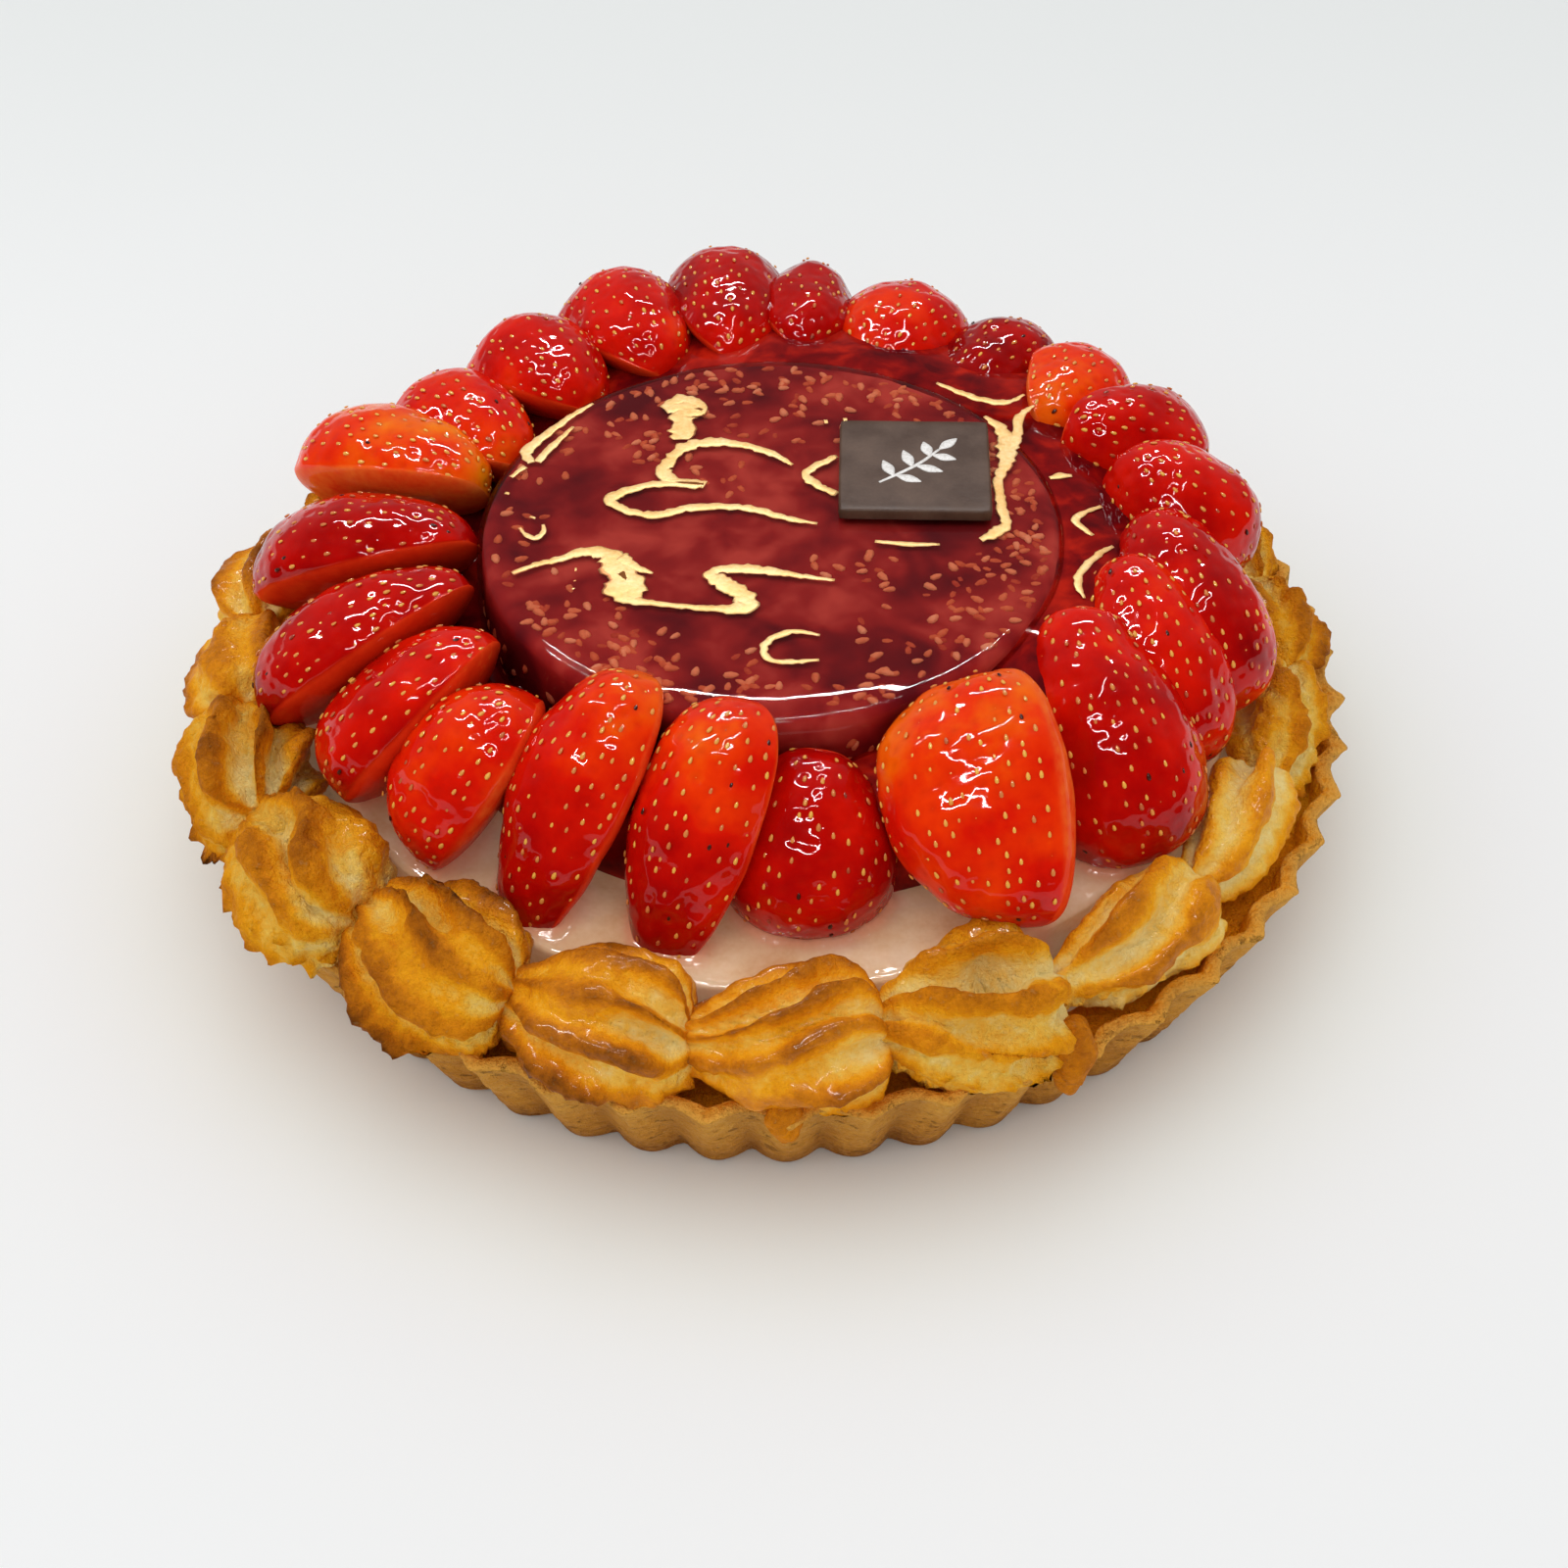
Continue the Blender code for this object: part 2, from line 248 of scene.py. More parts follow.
def custard_finish():
    """Set custard with a wet top, and a faint glow in its own colour painted in as light."""
    plan = new_finish("set_custard")
    patch = plan.clouds(11.0, 3.0)
    grain = plan.clouds(0.8, 3.0)
    colour = plan.ramp(
        patch + (grain - 0.5) * 0.2, (0.30, "DCAE80"), (0.52, "EAC89E"), (0.74, "F6DCBC")
    )
    syrup = plan.between(plan.mark("syrup") + (patch - 0.5) * 0.6, 0.2, 0.9)
    colour = plan.mix(syrup * 0.48, colour, "E27C60")
    # The emission is painted light: a faint glow in the custard's own colour that brightens it
    # where the fruit and shells shade it.
    return coat(
        plan, Base_Color=colour, Roughness=plan.between(grain, 0.3, 0.7, 0.08, 0.14),
        Normal=plan.relief(plan.clouds(3.6, 2.0), 0.5, 0.8), Coat_Weight=1.0, Coat_Roughness=0.03,
        Coat_IOR=1.5, Specular_IOR_Level=0.3, Emission_Color=colour, Emission_Strength=0.12,
    )


def strawberry_finish():
    """Glazed strawberry half: skin from orange to crimson, darker towards the foot partly as
    painted shade, lighter cut face.
    """
    plan = new_finish("glazed_strawberry")
    ripe, cut, seat = (plan.mark(name) for name in ("ripe", "cut", "seat"))
    fine = plan.clouds(1.4, 2.0)
    # Skin and cut face follow the mark of ripeness, which also darkens towards the foot as painted
    # shade.
    skin = plan.ramp(
        ripe + (plan.clouds(7.0, 3.0) - 0.5) * 0.30 + (fine - 0.5) * 0.10,
        (0.00, "FFA010"), (0.16, "FC6A08"), (0.34, "F63804"),
        (0.52, "E21603"), (0.72, "BC0602"), (1.00, "7C0206"),
    )
    skin = plan.mix(seat * 0.35, skin, "C41A08")
    streaks = plan.clouds(2.2, 3.0, 0.6)
    flesh = ripe * 0.6 + (streaks - 0.5) * 0.35 + 0.15
    flesh = plan.ramp(flesh, (0.15, "FC8030"), (0.45, "EE4016"), (0.85, "CC180A"))
    return coat(
        plan, Base_Color=plan.mix(cut, skin, flesh),
        Roughness=plan.between(fine, 0.3, 0.7, 0.30, 0.42),
        Normal=plan.relief(fine * 0.3 + streaks * 0.7, 0.20, 0.4), Coat_Weight=1.0 - cut * 0.55,
        Coat_Roughness=0.05, Coat_IOR=1.36, Specular_IOR_Level=0.0,
    )


def achene_finish():
    """Small hard fruits on the skin: pale yellow, some of them dark."""
    plan = new_finish("achene")
    shade = plan.mark("shade")
    colour = plan.ramp(
        shade + (plan.clouds(0.6, 2.0) - 0.5) * 0.3,
        (0.04, "4A1408"), (0.16, "B8442C"), (0.45, "E48A44"), (0.80, "F8B84C"),
    )
    return coat(
        plan, Base_Color=colour, Roughness=plan.between(shade, 0.0, 1.0, 0.45, 0.3),
        Coat_Weight=0.5, Coat_Roughness=0.08, Specular_IOR_Level=0.1,
    )


def jelly_finish():
    """Raspberry jelly seen through its skin: dark wine red with lighter fruit, and painted shade
    darker low down its side.
    """
    plan = new_finish("raspberry_jelly")
    fruit = plan.clouds(17.0, 2.0, 0.5, bend=0.6)
    pulp = plan.clouds(6.0, 2.0, 0.5, bend=0.4)
    # Painted shade: the jelly darkens from 54 mm down to 46 mm, low on its side.
    side_shade = plan.between(plan.axis(plan.place(), "Z"), 0.054, 0.046)
    level = fruit * 0.85 + pulp * 0.30 - 0.03 - side_shade * 0.10
    return coat(
        plan,
        Base_Color=plan.ramp(
            level, (0.36, "661820"), (0.46, "862024"), (0.56, "A42E2C"), (0.68, "C65044")
        ),
        Roughness=plan.between(pulp, 0.3, 0.7, 0.35, 0.5), Normal=plan.relief(level, 1.0, 0.25),
        Specular_IOR_Level=0.0,
    )


def glaze_finish():
    """Set red glaze: wine red, brighter in patches like fruit."""
    plan = new_finish("red_glaze")
    fruit = plan.clouds(7.0, 3.0, 0.5, bend=0.4)
    return coat(
        plan, Base_Color=plan.ramp(fruit, (0.35, "5A060C"), (0.52, "860C0C"), (0.70, "BC2010")),
        Roughness=plan.between(fruit, 0.3, 0.7, 0.25, 0.4),
        Normal=plan.relief(plan.clouds(3.0, 2.0), 0.4, 0.5), Coat_Weight=0.4, Coat_Roughness=0.03,
        Coat_IOR=1.36, Specular_IOR_Level=0.0,
    )


def clear_finish():
    """Clear jelly skin: see-through, with a gloss that grows towards its edges."""
    plan = new_finish("clear_jelly")
    normal = plan.relief(plan.clouds(9.0, 2.0), 0.10, 0.35)
    through = plan.add("ShaderNodeBsdfTransparent", {"Color": (0.96, 0.80, 0.80, 1.0)})
    shine = plan.add("ShaderNodeBsdfGlossy", {"Roughness": 0.03, "Normal": normal})
    facing = plan.add("ShaderNodeFresnel", {"IOR": 1.38, "Normal": normal})
    both = plan.add("ShaderNodeMixShader", {0: facing * 0.7, 1: through, 2: shine})
    plan.add("ShaderNodeOutputMaterial", {"Surface": both})
    return plan.material


def pip_finish():
    """Raspberry pips, the deep ones veiled by jelly."""
    plan = new_finish("raspberry_pip")
    shade = plan.mark("shade")
    colour = plan.ramp(
        shade + (plan.clouds(0.9, 2.0) - 0.5) * 0.35,
        (0.10, "B84434"), (0.40, "DE764C"), (0.70, "F4A070"), (1.00, "FFCCA0"),
    )
    roughness = plan.between(shade, 0.0, 1.0, 0.5, 0.35)
    return coat(plan, Base_Color=colour, Roughness=roughness, Specular_IOR_Level=0.0)


def chocolate_finish():
    """Thin dark chocolate plaque with a satin face."""
    plan = new_finish("plaque_chocolate")
    patch = plan.clouds(6.0, 3.0)
    fine = plan.clouds(0.5, 2.0)
    return coat(
        plan,
        Base_Color=plan.ramp(
            patch + (fine - 0.5) * 0.2, (0.3, "4E372A"), (0.55, "5C4436"), (0.8, "6A5142")
        ),
        Roughness=plan.between(patch, 0.3, 0.7, 0.34, 0.46),
        Normal=plan.relief(fine * 0.4 + patch, 0.10, 0.4), Specular_IOR_Level=0.12,
    )


def icing_finish():
    """White cocoa-butter print on the plaque."""
    plan = new_finish("white_print")
    fine = plan.clouds(0.5, 3.0)
    colour = plan.mix(plan.between(fine, 0.35, 0.65), "D8D2CC", "F2EFEC")
    return coat(plan, Base_Color=colour, Roughness=plan.between(fine, 0.3, 0.7, 0.4, 0.55))


def gold_finish():
    """Pale gold lustre brushed on the jelly, with a faint warm glow painted in as light."""
    plan = new_finish("gold_lustre")
    fine = plan.clouds(0.7, 3.0, 0.6)
    tone = fine * 0.5 + plan.clouds(5.0, 2.0) * 0.5
    # The warm emission is painted light: a faint glow, though the gold gives no light.
    return coat(
        plan, Base_Color=plan.ramp(tone, (0.3, "E8B060"), (0.5, "F2C480"), (0.7, "F8D6A0")),
        Roughness=plan.between(fine, 0.3, 0.7, 0.30, 0.45), Normal=plan.relief(fine, 0.08, 0.6),
        Metallic=0.15, Specular_IOR_Level=0.1, Emission_Color=(1.0, 0.72, 0.36, 1.0),
        Emission_Strength=0.05,
    )


def floor_finish():
    """Matt floor, nearly white, with painted shade that darkens it behind the tart and painted
    light that brightens it just round the tart.
    """
    plan = new_finish("pale_floor")
    colour = plan.mix(plan.clouds(300.0, 2.0), "F6F7F7", "F9F9F9")
    # Painted shade: the floor darkens towards the back.
    painted_shade_behind = plan.between(plan.axis(plan.place(), "Y"), 0.05, 0.35)
    colour = plan.mix(painted_shade_behind, colour, "EBEDEC")
    # Painted light: the floor is lightened and tinted just round the tart, where its shadow falls.
    away = plan.add("ShaderNodeVectorMath", {0: plan.place()}, "Value", operation="LENGTH")
    colour = plan.mix(plan.between(away, 0.135, 0.10) * 0.35, colour, "FAFFF2")
    return coat(plan, Base_Color=colour, Roughness=0.9, Specular_IOR_Level=0.0)


# --- shapes


def one_layer(where, seed):
    """Random numbers of -1 to 1 on a unit lattice, smoothly joined between its corners."""
    cell = np.floor(where)
    part = where - cell
    part = part**3 * (part * (part * 6.0 - 15.0) + 10.0)
    cell = cell.astype(np.int64).astype(np.uint32)
    total = np.zeros(len(where))
    for corner in np.ndindex(2, 2, 2):
        at = cell + np.array(corner, dtype=np.uint32)
        key = at[:, 0] * np.uint32(73856093) ^ at[:, 1] * np.uint32(19349663)
        key = key ^ at[:, 2] * np.uint32(83492791) ^ np.uint32(seed * 7919 + 13)
        key = (key ^ (key >> np.uint32(15))) * np.uint32(2246822519)
        key = (key ^ (key >> np.uint32(13))) * np.uint32(3266489917)
        key = key ^ (key >> np.uint32(16))
        share = np.prod(np.where(np.array(corner) == 1, part, 1.0 - part), axis=1)
        total += share * (key / 2147483648.0 - 1.0)
    return total


def lumps(grid, size, seed, layers=1):
    """Random swelling over a grid of points, about -1 to 1, in lumps of one size and smaller."""
    points = grid.reshape(-1, 3) / size
    total = np.zeros(len(points))
    for layer in range(layers):
        total += 0.5**layer * one_layer(points * 2.0**layer, seed + 31 * layer)
    return total.reshape(grid.shape[:-1])


def smooth(value, low, high):
    """0 below low, 1 above high and an even rise between."""
    share = np.clip((value - low) / (high - low), 0.0, 1.0)
    return share * share * (3.0 - 2.0 * share)


def faces_out(grid):
    """Unit normals of a tube of rings, pointing away from its middle."""
    around = np.roll(grid, -1, axis=1) - np.roll(grid, 1, axis=1)
    normal = np.cross(around, np.gradient(grid, axis=0))
    normal /= np.maximum(np.linalg.norm(normal, axis=2, keepdims=True), 1e-9)
    if np.sum(normal * (grid - grid.mean(axis=(0, 1)))) < 0.0:
        normal = -normal
    return normal


def turned(azimuth, radius, height):
    """Points from azimuths in radians, radii and heights."""
    azimuth, radius, height = np.broadcast_arrays(azimuth, radius, height)
    return np.stack([radius * np.cos(azimuth), radius * np.sin(azimuth), height], axis=-1)


def lathe(profile, steps, start=0.0):
    """Rings of a turned shape, one for each row that begins with a height and a radius."""
    table = np.array(profile)[:, None, :]
    azimuth = start + np.arange(steps) * math.tau / steps
    return turned(azimuth[None, :], table[..., 1], table[..., 0])


def ball_angles(rows, sides):
    """Angles from a ball's pole, one for each ring, and round it, one for each side."""
    return (
        np.linspace(0.0, math.pi, rows + 2)[1:-1, None],
        np.arange(sides)[None, :] * math.tau / sides,
    )


def swollen(grid, by):
    """A tube with its points moved outwards by so many millimetres."""
    return grid + faces_out(grid) * by[..., None]


class Skin:
    """Closed tubes of points in millimetres, gathered into one mesh."""

    def __init__(self):
        self.points, self.quads, self.tris, self.marks = [], [], [], {}
        self.count = 0

    def add(self, grid, **marks):
        """Add a tube of rings and close each end on the middle of its last ring."""
        rings, sides = grid.shape[:2]
        poles = [grid[0].mean(axis=0), grid[-1].mean(axis=0)]
        points = np.concatenate([grid.reshape(-1, 3), poles])
        ring, side = np.meshgrid(np.arange(rings - 1) * sides, np.arange(sides), indexing="ij")
        after = (side + 1) % sides
        corners = [ring + side, ring + after, ring + sides + after, ring + sides + side]
        quads = np.stack(corners, axis=-1).reshape(-1, 4)
        side, after, last = side[0], after[0], (rings - 1) * sides
        pole = np.full(sides, rings * sides)
        ends = [[pole, after, side], [pole + 1, last + side, last + after]]
        tris = np.concatenate([np.stack(end, axis=-1) for end in ends])
        whole = np.concatenate([quads[:, :3], quads[:, [0, 2, 3]], tris])
        a, b, c = (points[whole[:, at]] - points.mean(axis=0) for at in range(3))
        if np.sum(a * np.cross(b, c)) < 0.0:
            quads, tris = quads[:, ::-1], tris[:, ::-1]
        self.points.append(points)
        self.quads += (quads + self.count).tolist()
        self.tris += (tris + self.count).tolist()
        for name, values in marks.items():
            values = np.broadcast_to(values, (rings, sides))
            ends = [values[0].mean(), values[-1].mean()]
            self.marks.setdefault(name, []).append(np.concatenate([values.ravel(), ends]))
        self.count += len(points)
        return self

    def piece(self, name, material, slot):
        """Make the object, in metres, riding on the tart's one body."""
        mesh = bpy.data.meshes.new(name)
        mesh.from_pydata(np.concatenate(self.points) * MM, [], self.quads + self.tris)
        mesh.validate()
        for mark, values in self.marks.items():
            layer = mesh.attributes.new(mark, "FLOAT", "POINT")
            layer.data.foreach_set("value", np.concatenate(values))
        mesh.shade_smooth()
        return place_piece(name, mesh, material)


def link_new(name, data):
    """New object, linked to the scene."""
    item = bpy.data.objects.new(name, data)
    bpy.context.scene.collection.objects.link(item)
    return item


def place_piece(name, mesh, material):
    """Link a mesh as a piece with its material."""
    mesh.materials.clear()
    mesh.materials.append(material)
    item = link_new(name, mesh)
    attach(item, "root")
    return item


class Recipe:
    """A Geometry Nodes tree with named sizes, run once on a mesh."""

    def __init__(self, name, sizes):
        self.tree = bpy.data.node_groups.new(name, "GeometryNodeTree")
        face = self.tree.interface
        face.new_socket("Geometry", in_out="INPUT", socket_type="NodeSocketGeometry")
        self.sizes = {}
        for label, value in sizes.items():
            whole = isinstance(value, int)
            socket = face.new_socket(
                label, in_out="INPUT", socket_type="NodeSocketInt" if whole else "NodeSocketFloat"
            )
            self.sizes[socket.identifier] = value
        face.new_socket("Geometry", in_out="OUTPUT", socket_type="NodeSocketGeometry")
        self.plan = Plan(self.tree)
        start = self.tree.nodes.new("NodeGroupInput")
        self.given = {socket.name: Wire(self.plan, socket) for socket in start.outputs}

    def finish(self, shape, material):
        """End the tree: instances made real, then the material."""
        real = self.plan.add("GeometryNodeRealizeInstances", {"Geometry": shape})
        dressed = {"Geometry": real, "Material": material}
        dressed = self.plan.add("GeometryNodeSetMaterial", dressed)
        self.plan.add("NodeGroupOutput", {"Geometry": dressed})

    def run(self, mesh):
        """Run the tree on a mesh and return the result as a plain mesh."""
        item = link_new(self.tree.name, mesh)
        change = item.modifiers.new("recipe", "NODES")
        change.node_group = self.tree
        for identifier, value in self.sizes.items():
            change[identifier] = value
        item.update_tag()
        bpy.context.view_layer.update()
        view = bpy.context.evaluated_depsgraph_get()
        result = bpy.data.meshes.new_from_object(item.evaluated_get(view))
        bpy.data.objects.remove(item, do_unlink=True)
        return result


# --- crust


RIM_ROUNDING = 0.9
CRUST_UNEVENNESS = 1.5
STEPS_PER_FLUTE = 20


def crust_profile():
    """Rows of height, radius, share of the fluting, inside and edge, round the wall's section."""
    foot = BASE_RADIUS - 1.2
    rows = [(0.0, 0.4 * foot, 0.0, 0.0, 0.0), (0.0, foot, 0.6, 0.0, 0.0)]
    for height in np.linspace(RIM_ROUNDING, RIM_HEIGHT - RIM_ROUNDING, 22):
        radius = BASE_RADIUS + (RIM_RADIUS - BASE_RADIUS) * height / RIM_HEIGHT
        rows.append((height, radius, 1.0, 0.0, 0.0))
    for turn in np.linspace(0.12, 0.88, 7):
        radius = RIM_RADIUS - 0.5 * WALL * (1.0 - math.cos(math.pi * turn))
        height = RIM_HEIGHT - RIM_ROUNDING * (1.0 - math.sin(math.pi * turn))
        rows.append((height, radius, 1.0 - 0.25 * turn, smooth(turn, 0.25, 0.75), 1.0))
    for share in np.linspace(0.02, 1.0, 10):
        height, radius = RIM_HEIGHT - 1.0 - 3.2 * share, RIM_RADIUS - WALL - 1.6 * share
        rows.append((height, radius, 0.75 - 0.3 * share, 1.0, 0.5 * smooth(share, 0.3, 0.0)))
    for share in np.linspace(0.1, 1.0, 9):
        height, radius = RIM_HEIGHT - 4.2 - 1.2 * share**2, RIM_RADIUS - WALL - 1.6 - 8.0 * share
        rows.append((height, radius, 0.45 - 0.4 * share, 1.0, 0.0))
    rows.append((LEDGE_HEIGHT - 3.0, BASE_RADIUS - 4.0, 0.0, 1.0, 0.0))
    rows.append((FLOOR, 40.0, 0.0, 1.0, 0.0))
    return rows


def fluting_recipe(material):
    """Tree that flutes and roughens the turned case, and marks its hollows and height."""
    sizes = {
        "Flutes": FLUTES,
        "First Crest": FIRST_CREST,
        "Flute Depth": FLUTE_DEPTH * MM,
        "Rim Height": RIM_HEIGHT * MM,
        "Unevenness": CRUST_UNEVENNESS * MM,
        "Seed": 4.0,
    }
    recipe = Recipe("fluted_case", sizes)
    plan, given = recipe.plan, recipe.given
    place = plan.add("GeometryNodeInputPosition")
    across, ahead, height = (plan.axis(place, axis) for axis in "XYZ")

    def noise(scale, **more):
        values = {"Vector": place, "W": given["Seed"], "Scale": scale, **more}
        return plan.add("ShaderNodeTexNoise", values, noise_dimensions="4D")

    azimuth = across.sum("ARCTAN2", ahead, across)
    half_turn = (azimuth - given["First Crest"]) * given["Flutes"] * 0.5
    lift = height / given["Rim Height"]
    bulge = (half_turn.sum("COSINE", half_turn) ** 2.0 + 0.02) ** 0.42
    cusp = 1.08 - (half_turn.sum("SINE", half_turn) ** 2.0 + 0.03) ** 0.5
    wave = bulge + (cusp - bulge) * plan.between(lift, 0.15, 0.95)
    dent = plan.add("GeometryNodeInputNamedAttribute", {"Name": "dent"}, data_type="FLOAT")
    side_shade = given["Flute Depth"] * (noise(45.0) * 0.5 + 0.75)
    radius = (across * across + ahead * ahead) ** 0.5
    scale = 1.0 - dent * side_shade * (1.0 - wave) / radius
    crumble = (noise(110.0) - 0.5) * given["Unevenness"] * 1.6 * plan.between(lift, 0.6, 1.0)
    moved = {"X": across * scale, "Y": ahead * scale, "Z": height + crumble}
    moved = plan.add("ShaderNodeCombineXYZ", moved)
    shape = {"Geometry": given["Geometry"], "Position": moved}
    shape = plan.add("GeometryNodeSetPosition", shape)
    hollow = (1.0 - wave) * plan.between(dent, 0.0, 0.3)
    for label, value in (("hollow", hollow), ("lift", lift)):
        kind = {"data_type": "FLOAT", "domain": "POINT"}
        values = {"Geometry": shape, "Name": label, "Value": value}
        shape = plan.add("GeometryNodeStoreNamedAttribute", values, **kind)
    coarse = noise(240.0, Detail=4.0, Roughness=0.6)
    swell = (coarse - 0.55) * given["Unevenness"] * plan.between(lift, 0.0, 0.12)
    push = {0: plan.add("GeometryNodeInputNormal"), "Scale": swell}
    push = plan.add("ShaderNodeVectorMath", push, operation="SCALE")
    shape = plan.add("GeometryNodeSetPosition", {"Geometry": shape, "Offset": push})
    recipe.finish(shape, material)
    return recipe


def build_crust(material):
    """Fluted case: a turned body that a Geometry Nodes tree flutes and roughens."""
    profile = crust_profile()
    table = np.array(profile)[:, None, :]
    grid = lathe(profile, FLUTES * STEPS_PER_FLUTE, FIRST_CREST)
    skin = Skin().add(grid, dent=table[..., 2], inside=table[..., 3], edge=table[..., 4])
    plain = skin.piece("crust_body", material, "pastry")
    mesh = fluting_recipe(material).run(plain.data)
    bpy.data.objects.remove(plain, do_unlink=True)
    crust = place_piece("crust_case", mesh, material)
    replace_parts(crust, "crust")


# --- custard and jelly


SYRUP_REACH = 2.2
CREEP_REACH = 1.1
CREEP_SLOPE = 0.75
CREEP_SOFTNESS = 0.16
JELLY_SAG = 0.40
GLAZE_START = 44.0
# Points in a ring
CUSTARD_SIDES = 1080
JELLY_SIDES = 300
GLAZE_SIDES = 420
PLAQUE_SIDES = 96


def build_custard(material, berry_grids):
    """Custard disc whose wavy top creeps up the strawberries, with a ledge for the choux ring."""
    side = CUSTARD_RADIUS + 3.0
    profile = [(FLOOR + 0.3, 20.0), (FLOOR + 0.3, CUSTARD_FOOT_RADIUS)]
    profile += [(LEDGE_HEIGHT, LEDGE_RADIUS), (LEDGE_HEIGHT, CUSTARD_RADIUS + 0.4)]
    profile += [(height, side) for height in (19.0, 22.0, 25.0)]
    for angle in np.linspace(0.0, 0.5 * math.pi, 6):
        sunk, inset = 1.2 * (1.0 - math.sin(angle)), 1.2 * (1.0 - math.cos(angle))
        profile.append((CUSTARD_TOP - sunk, side - inset))
    profile += [(CUSTARD_TOP, radius) for radius in np.linspace(CUSTARD_RADIUS + 1.4, 52.0, 60)]
    profile += [(CUSTARD_TOP, 40.0), (CUSTARD_TOP, 10.0)]
    grid = lathe(profile, CUSTARD_SIDES)
    top = smooth(grid[..., 2], CUSTARD_TOP - 1.0, CUSTARD_TOP)
    feet = np.concatenate([berry.reshape(-1, 3) for berry in berry_grids])
    feet = feet[np.abs(feet[:, 2] - CUSTARD_TOP - 0.5) < 0.7]
    tree = KDTree(len(feet))
    for number, foot in enumerate(feet):
        tree.insert((foot[0], foot[1], 0.0), number)
    tree.balance()
    away = [tree.find((x, y, 0.0))[2] for x, y in grid[..., :2].reshape(-1, 2)]
    away = np.array(away).reshape(grid.shape[:2])
    near = (CREEP_REACH + 0.5 * lumps(grid, 5.0, 4) - away) / CREEP_SOFTNESS
    creep = CREEP_SLOPE * CREEP_SOFTNESS * np.logaddexp(0.0, near)
    grid[..., 2] += top * (0.5 * lumps(grid, 8.0, 3, 2) + creep - 0.1)
    skin = Skin().add(grid, syrup=np.exp(-away / SYRUP_REACH))
    custard = skin.piece("custard_filling", material, "custard")
    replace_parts(custard, "custard")


def jelly_fall(grid):
    """How far the jelly's top has sunk at these points: only near its rim, mostly in front."""
    radius = np.maximum(1.0, np.hypot(grid[..., 0], grid[..., 1]))
    front = 0.25 + 0.75 * smooth(-grid[..., 1] / radius, 0.88, 0.97)
    return JELLY_SAG * front * np.clip((radius - 40.0) / 6.0, 0.0, 1.0) ** 3


def jelly_rings(inset, edge_rows):
    """Rings of the jelly disc from its foot to the middle of its top, set in by inset."""
    foot = CUSTARD_TOP + 0.3
    shoulder = JELLY_TOP - JELLY_EDGE
    top_radius = JELLY_RADIUS + 0.4 * JELLY_BULGE
    profile = [(foot + 0.1 * inset, 15.0), (foot + 0.1 * inset, JELLY_RADIUS - inset - 0.5)]
    profile += [(foot + 0.7, JELLY_RADIUS - inset)]
    for share in np.linspace(0.1, 0.95, 14):
        height = foot + 0.7 + share * (shoulder - foot - 0.7)
        belly = math.sin(math.pi * min(1.0, (height - foot) / (shoulder - foot)) ** 0.9)
        line = JELLY_RADIUS + (top_radius - JELLY_RADIUS) * share
        profile.append((height, line + (JELLY_BULGE - 0.3) * belly - inset))
    for angle in np.linspace(0.0, 0.5 * math.pi, edge_rows):
        sunk, drawn_in = JELLY_EDGE * (1.0 - math.sin(angle)), JELLY_EDGE * (1.0 - math.cos(angle))
        height = JELLY_TOP - sunk - inset * math.sin(angle)
        profile.append((height, top_radius - drawn_in - inset * math.cos(angle)))
    flat = top_radius - JELLY_EDGE
    profile += [(JELLY_TOP - inset, flat * share) for share in np.linspace(0.97, 0.02, 44)]
    grid = lathe(profile, JELLY_SIDES)
    grid[..., 2] -= jelly_fall(grid) * smooth(grid[..., 2], JELLY_TOP - 5.0, JELLY_TOP - 1.5)
    return grid


def build_jelly(core_material, skin_material):
    """Jelly core with a clear skin over it."""
    core = jelly_rings(JELLY_SKIN, 10)
    core = swollen(core, 0.12 * lumps(core, 5.0, 11, 3) * smooth(core[..., 2], 30.0, 33.0))
    skin = Skin().add(core)
    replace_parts(skin.piece("jelly_core", core_material, "jelly"), "jelly")
    outer = jelly_rings(0.0, 14)
    outer = swollen(outer, 0.10 * lumps(outer, 14.0, 12, 2) - 0.08)
    Skin().add(outer).piece("jelly_skin", skin_material, "jelly")


def glaze_top(grid):
    """Height of the red glaze at these points: nearly level with the jelly on the right."""
    azimuth = np.arctan2(grid[..., 1], grid[..., 0])
    level = 42.0 + 12.0 * smooth(np.cos(azimuth - math.radians(30.0)), -0.9, 0.6)
    radius = np.hypot(grid[..., 0], grid[..., 1])
    fall = 0.025 - 0.015 * smooth(grid[..., 1] / radius, 0.1, 0.7)
    return level - fall * np.maximum(0.0, radius - 51.0) ** 2


def build_glaze(material):
    """Red glaze round the jelly: a bed for the back berries, and filling between the others."""
    azimuth = np.arange(GLAZE_SIDES) * math.tau / GLAZE_SIDES
    reach = 18.0 + 2.0 * np.cos(azimuth) + 16.0 * smooth(np.sin(azimuth), 0.1, 0.7)
    foot = 30.0
    rings = [turned(azimuth, GLAZE_START + share * reach, height)
             for height, share in ((26.0, -0.8), (26.0, 0.9), (foot, 1.0))]
    for share in np.linspace(1.0, 0.0, 30):
        ring = turned(azimuth, GLAZE_START + share * reach, foot)
        ring[:, 2] += (glaze_top(ring) - foot) * (1.0 - 0.7 * smooth(share, 0.8, 1.0) ** 2)
        ring[:, 2] += 0.30 * lumps(ring, 12.0, 41, 2)
        rings.append(ring)
    rings.append(turned(azimuth, GLAZE_START - 0.6 * reach, foot))
    Skin().add(np.array(rings)).piece("berry_glaze", material, "jelly")


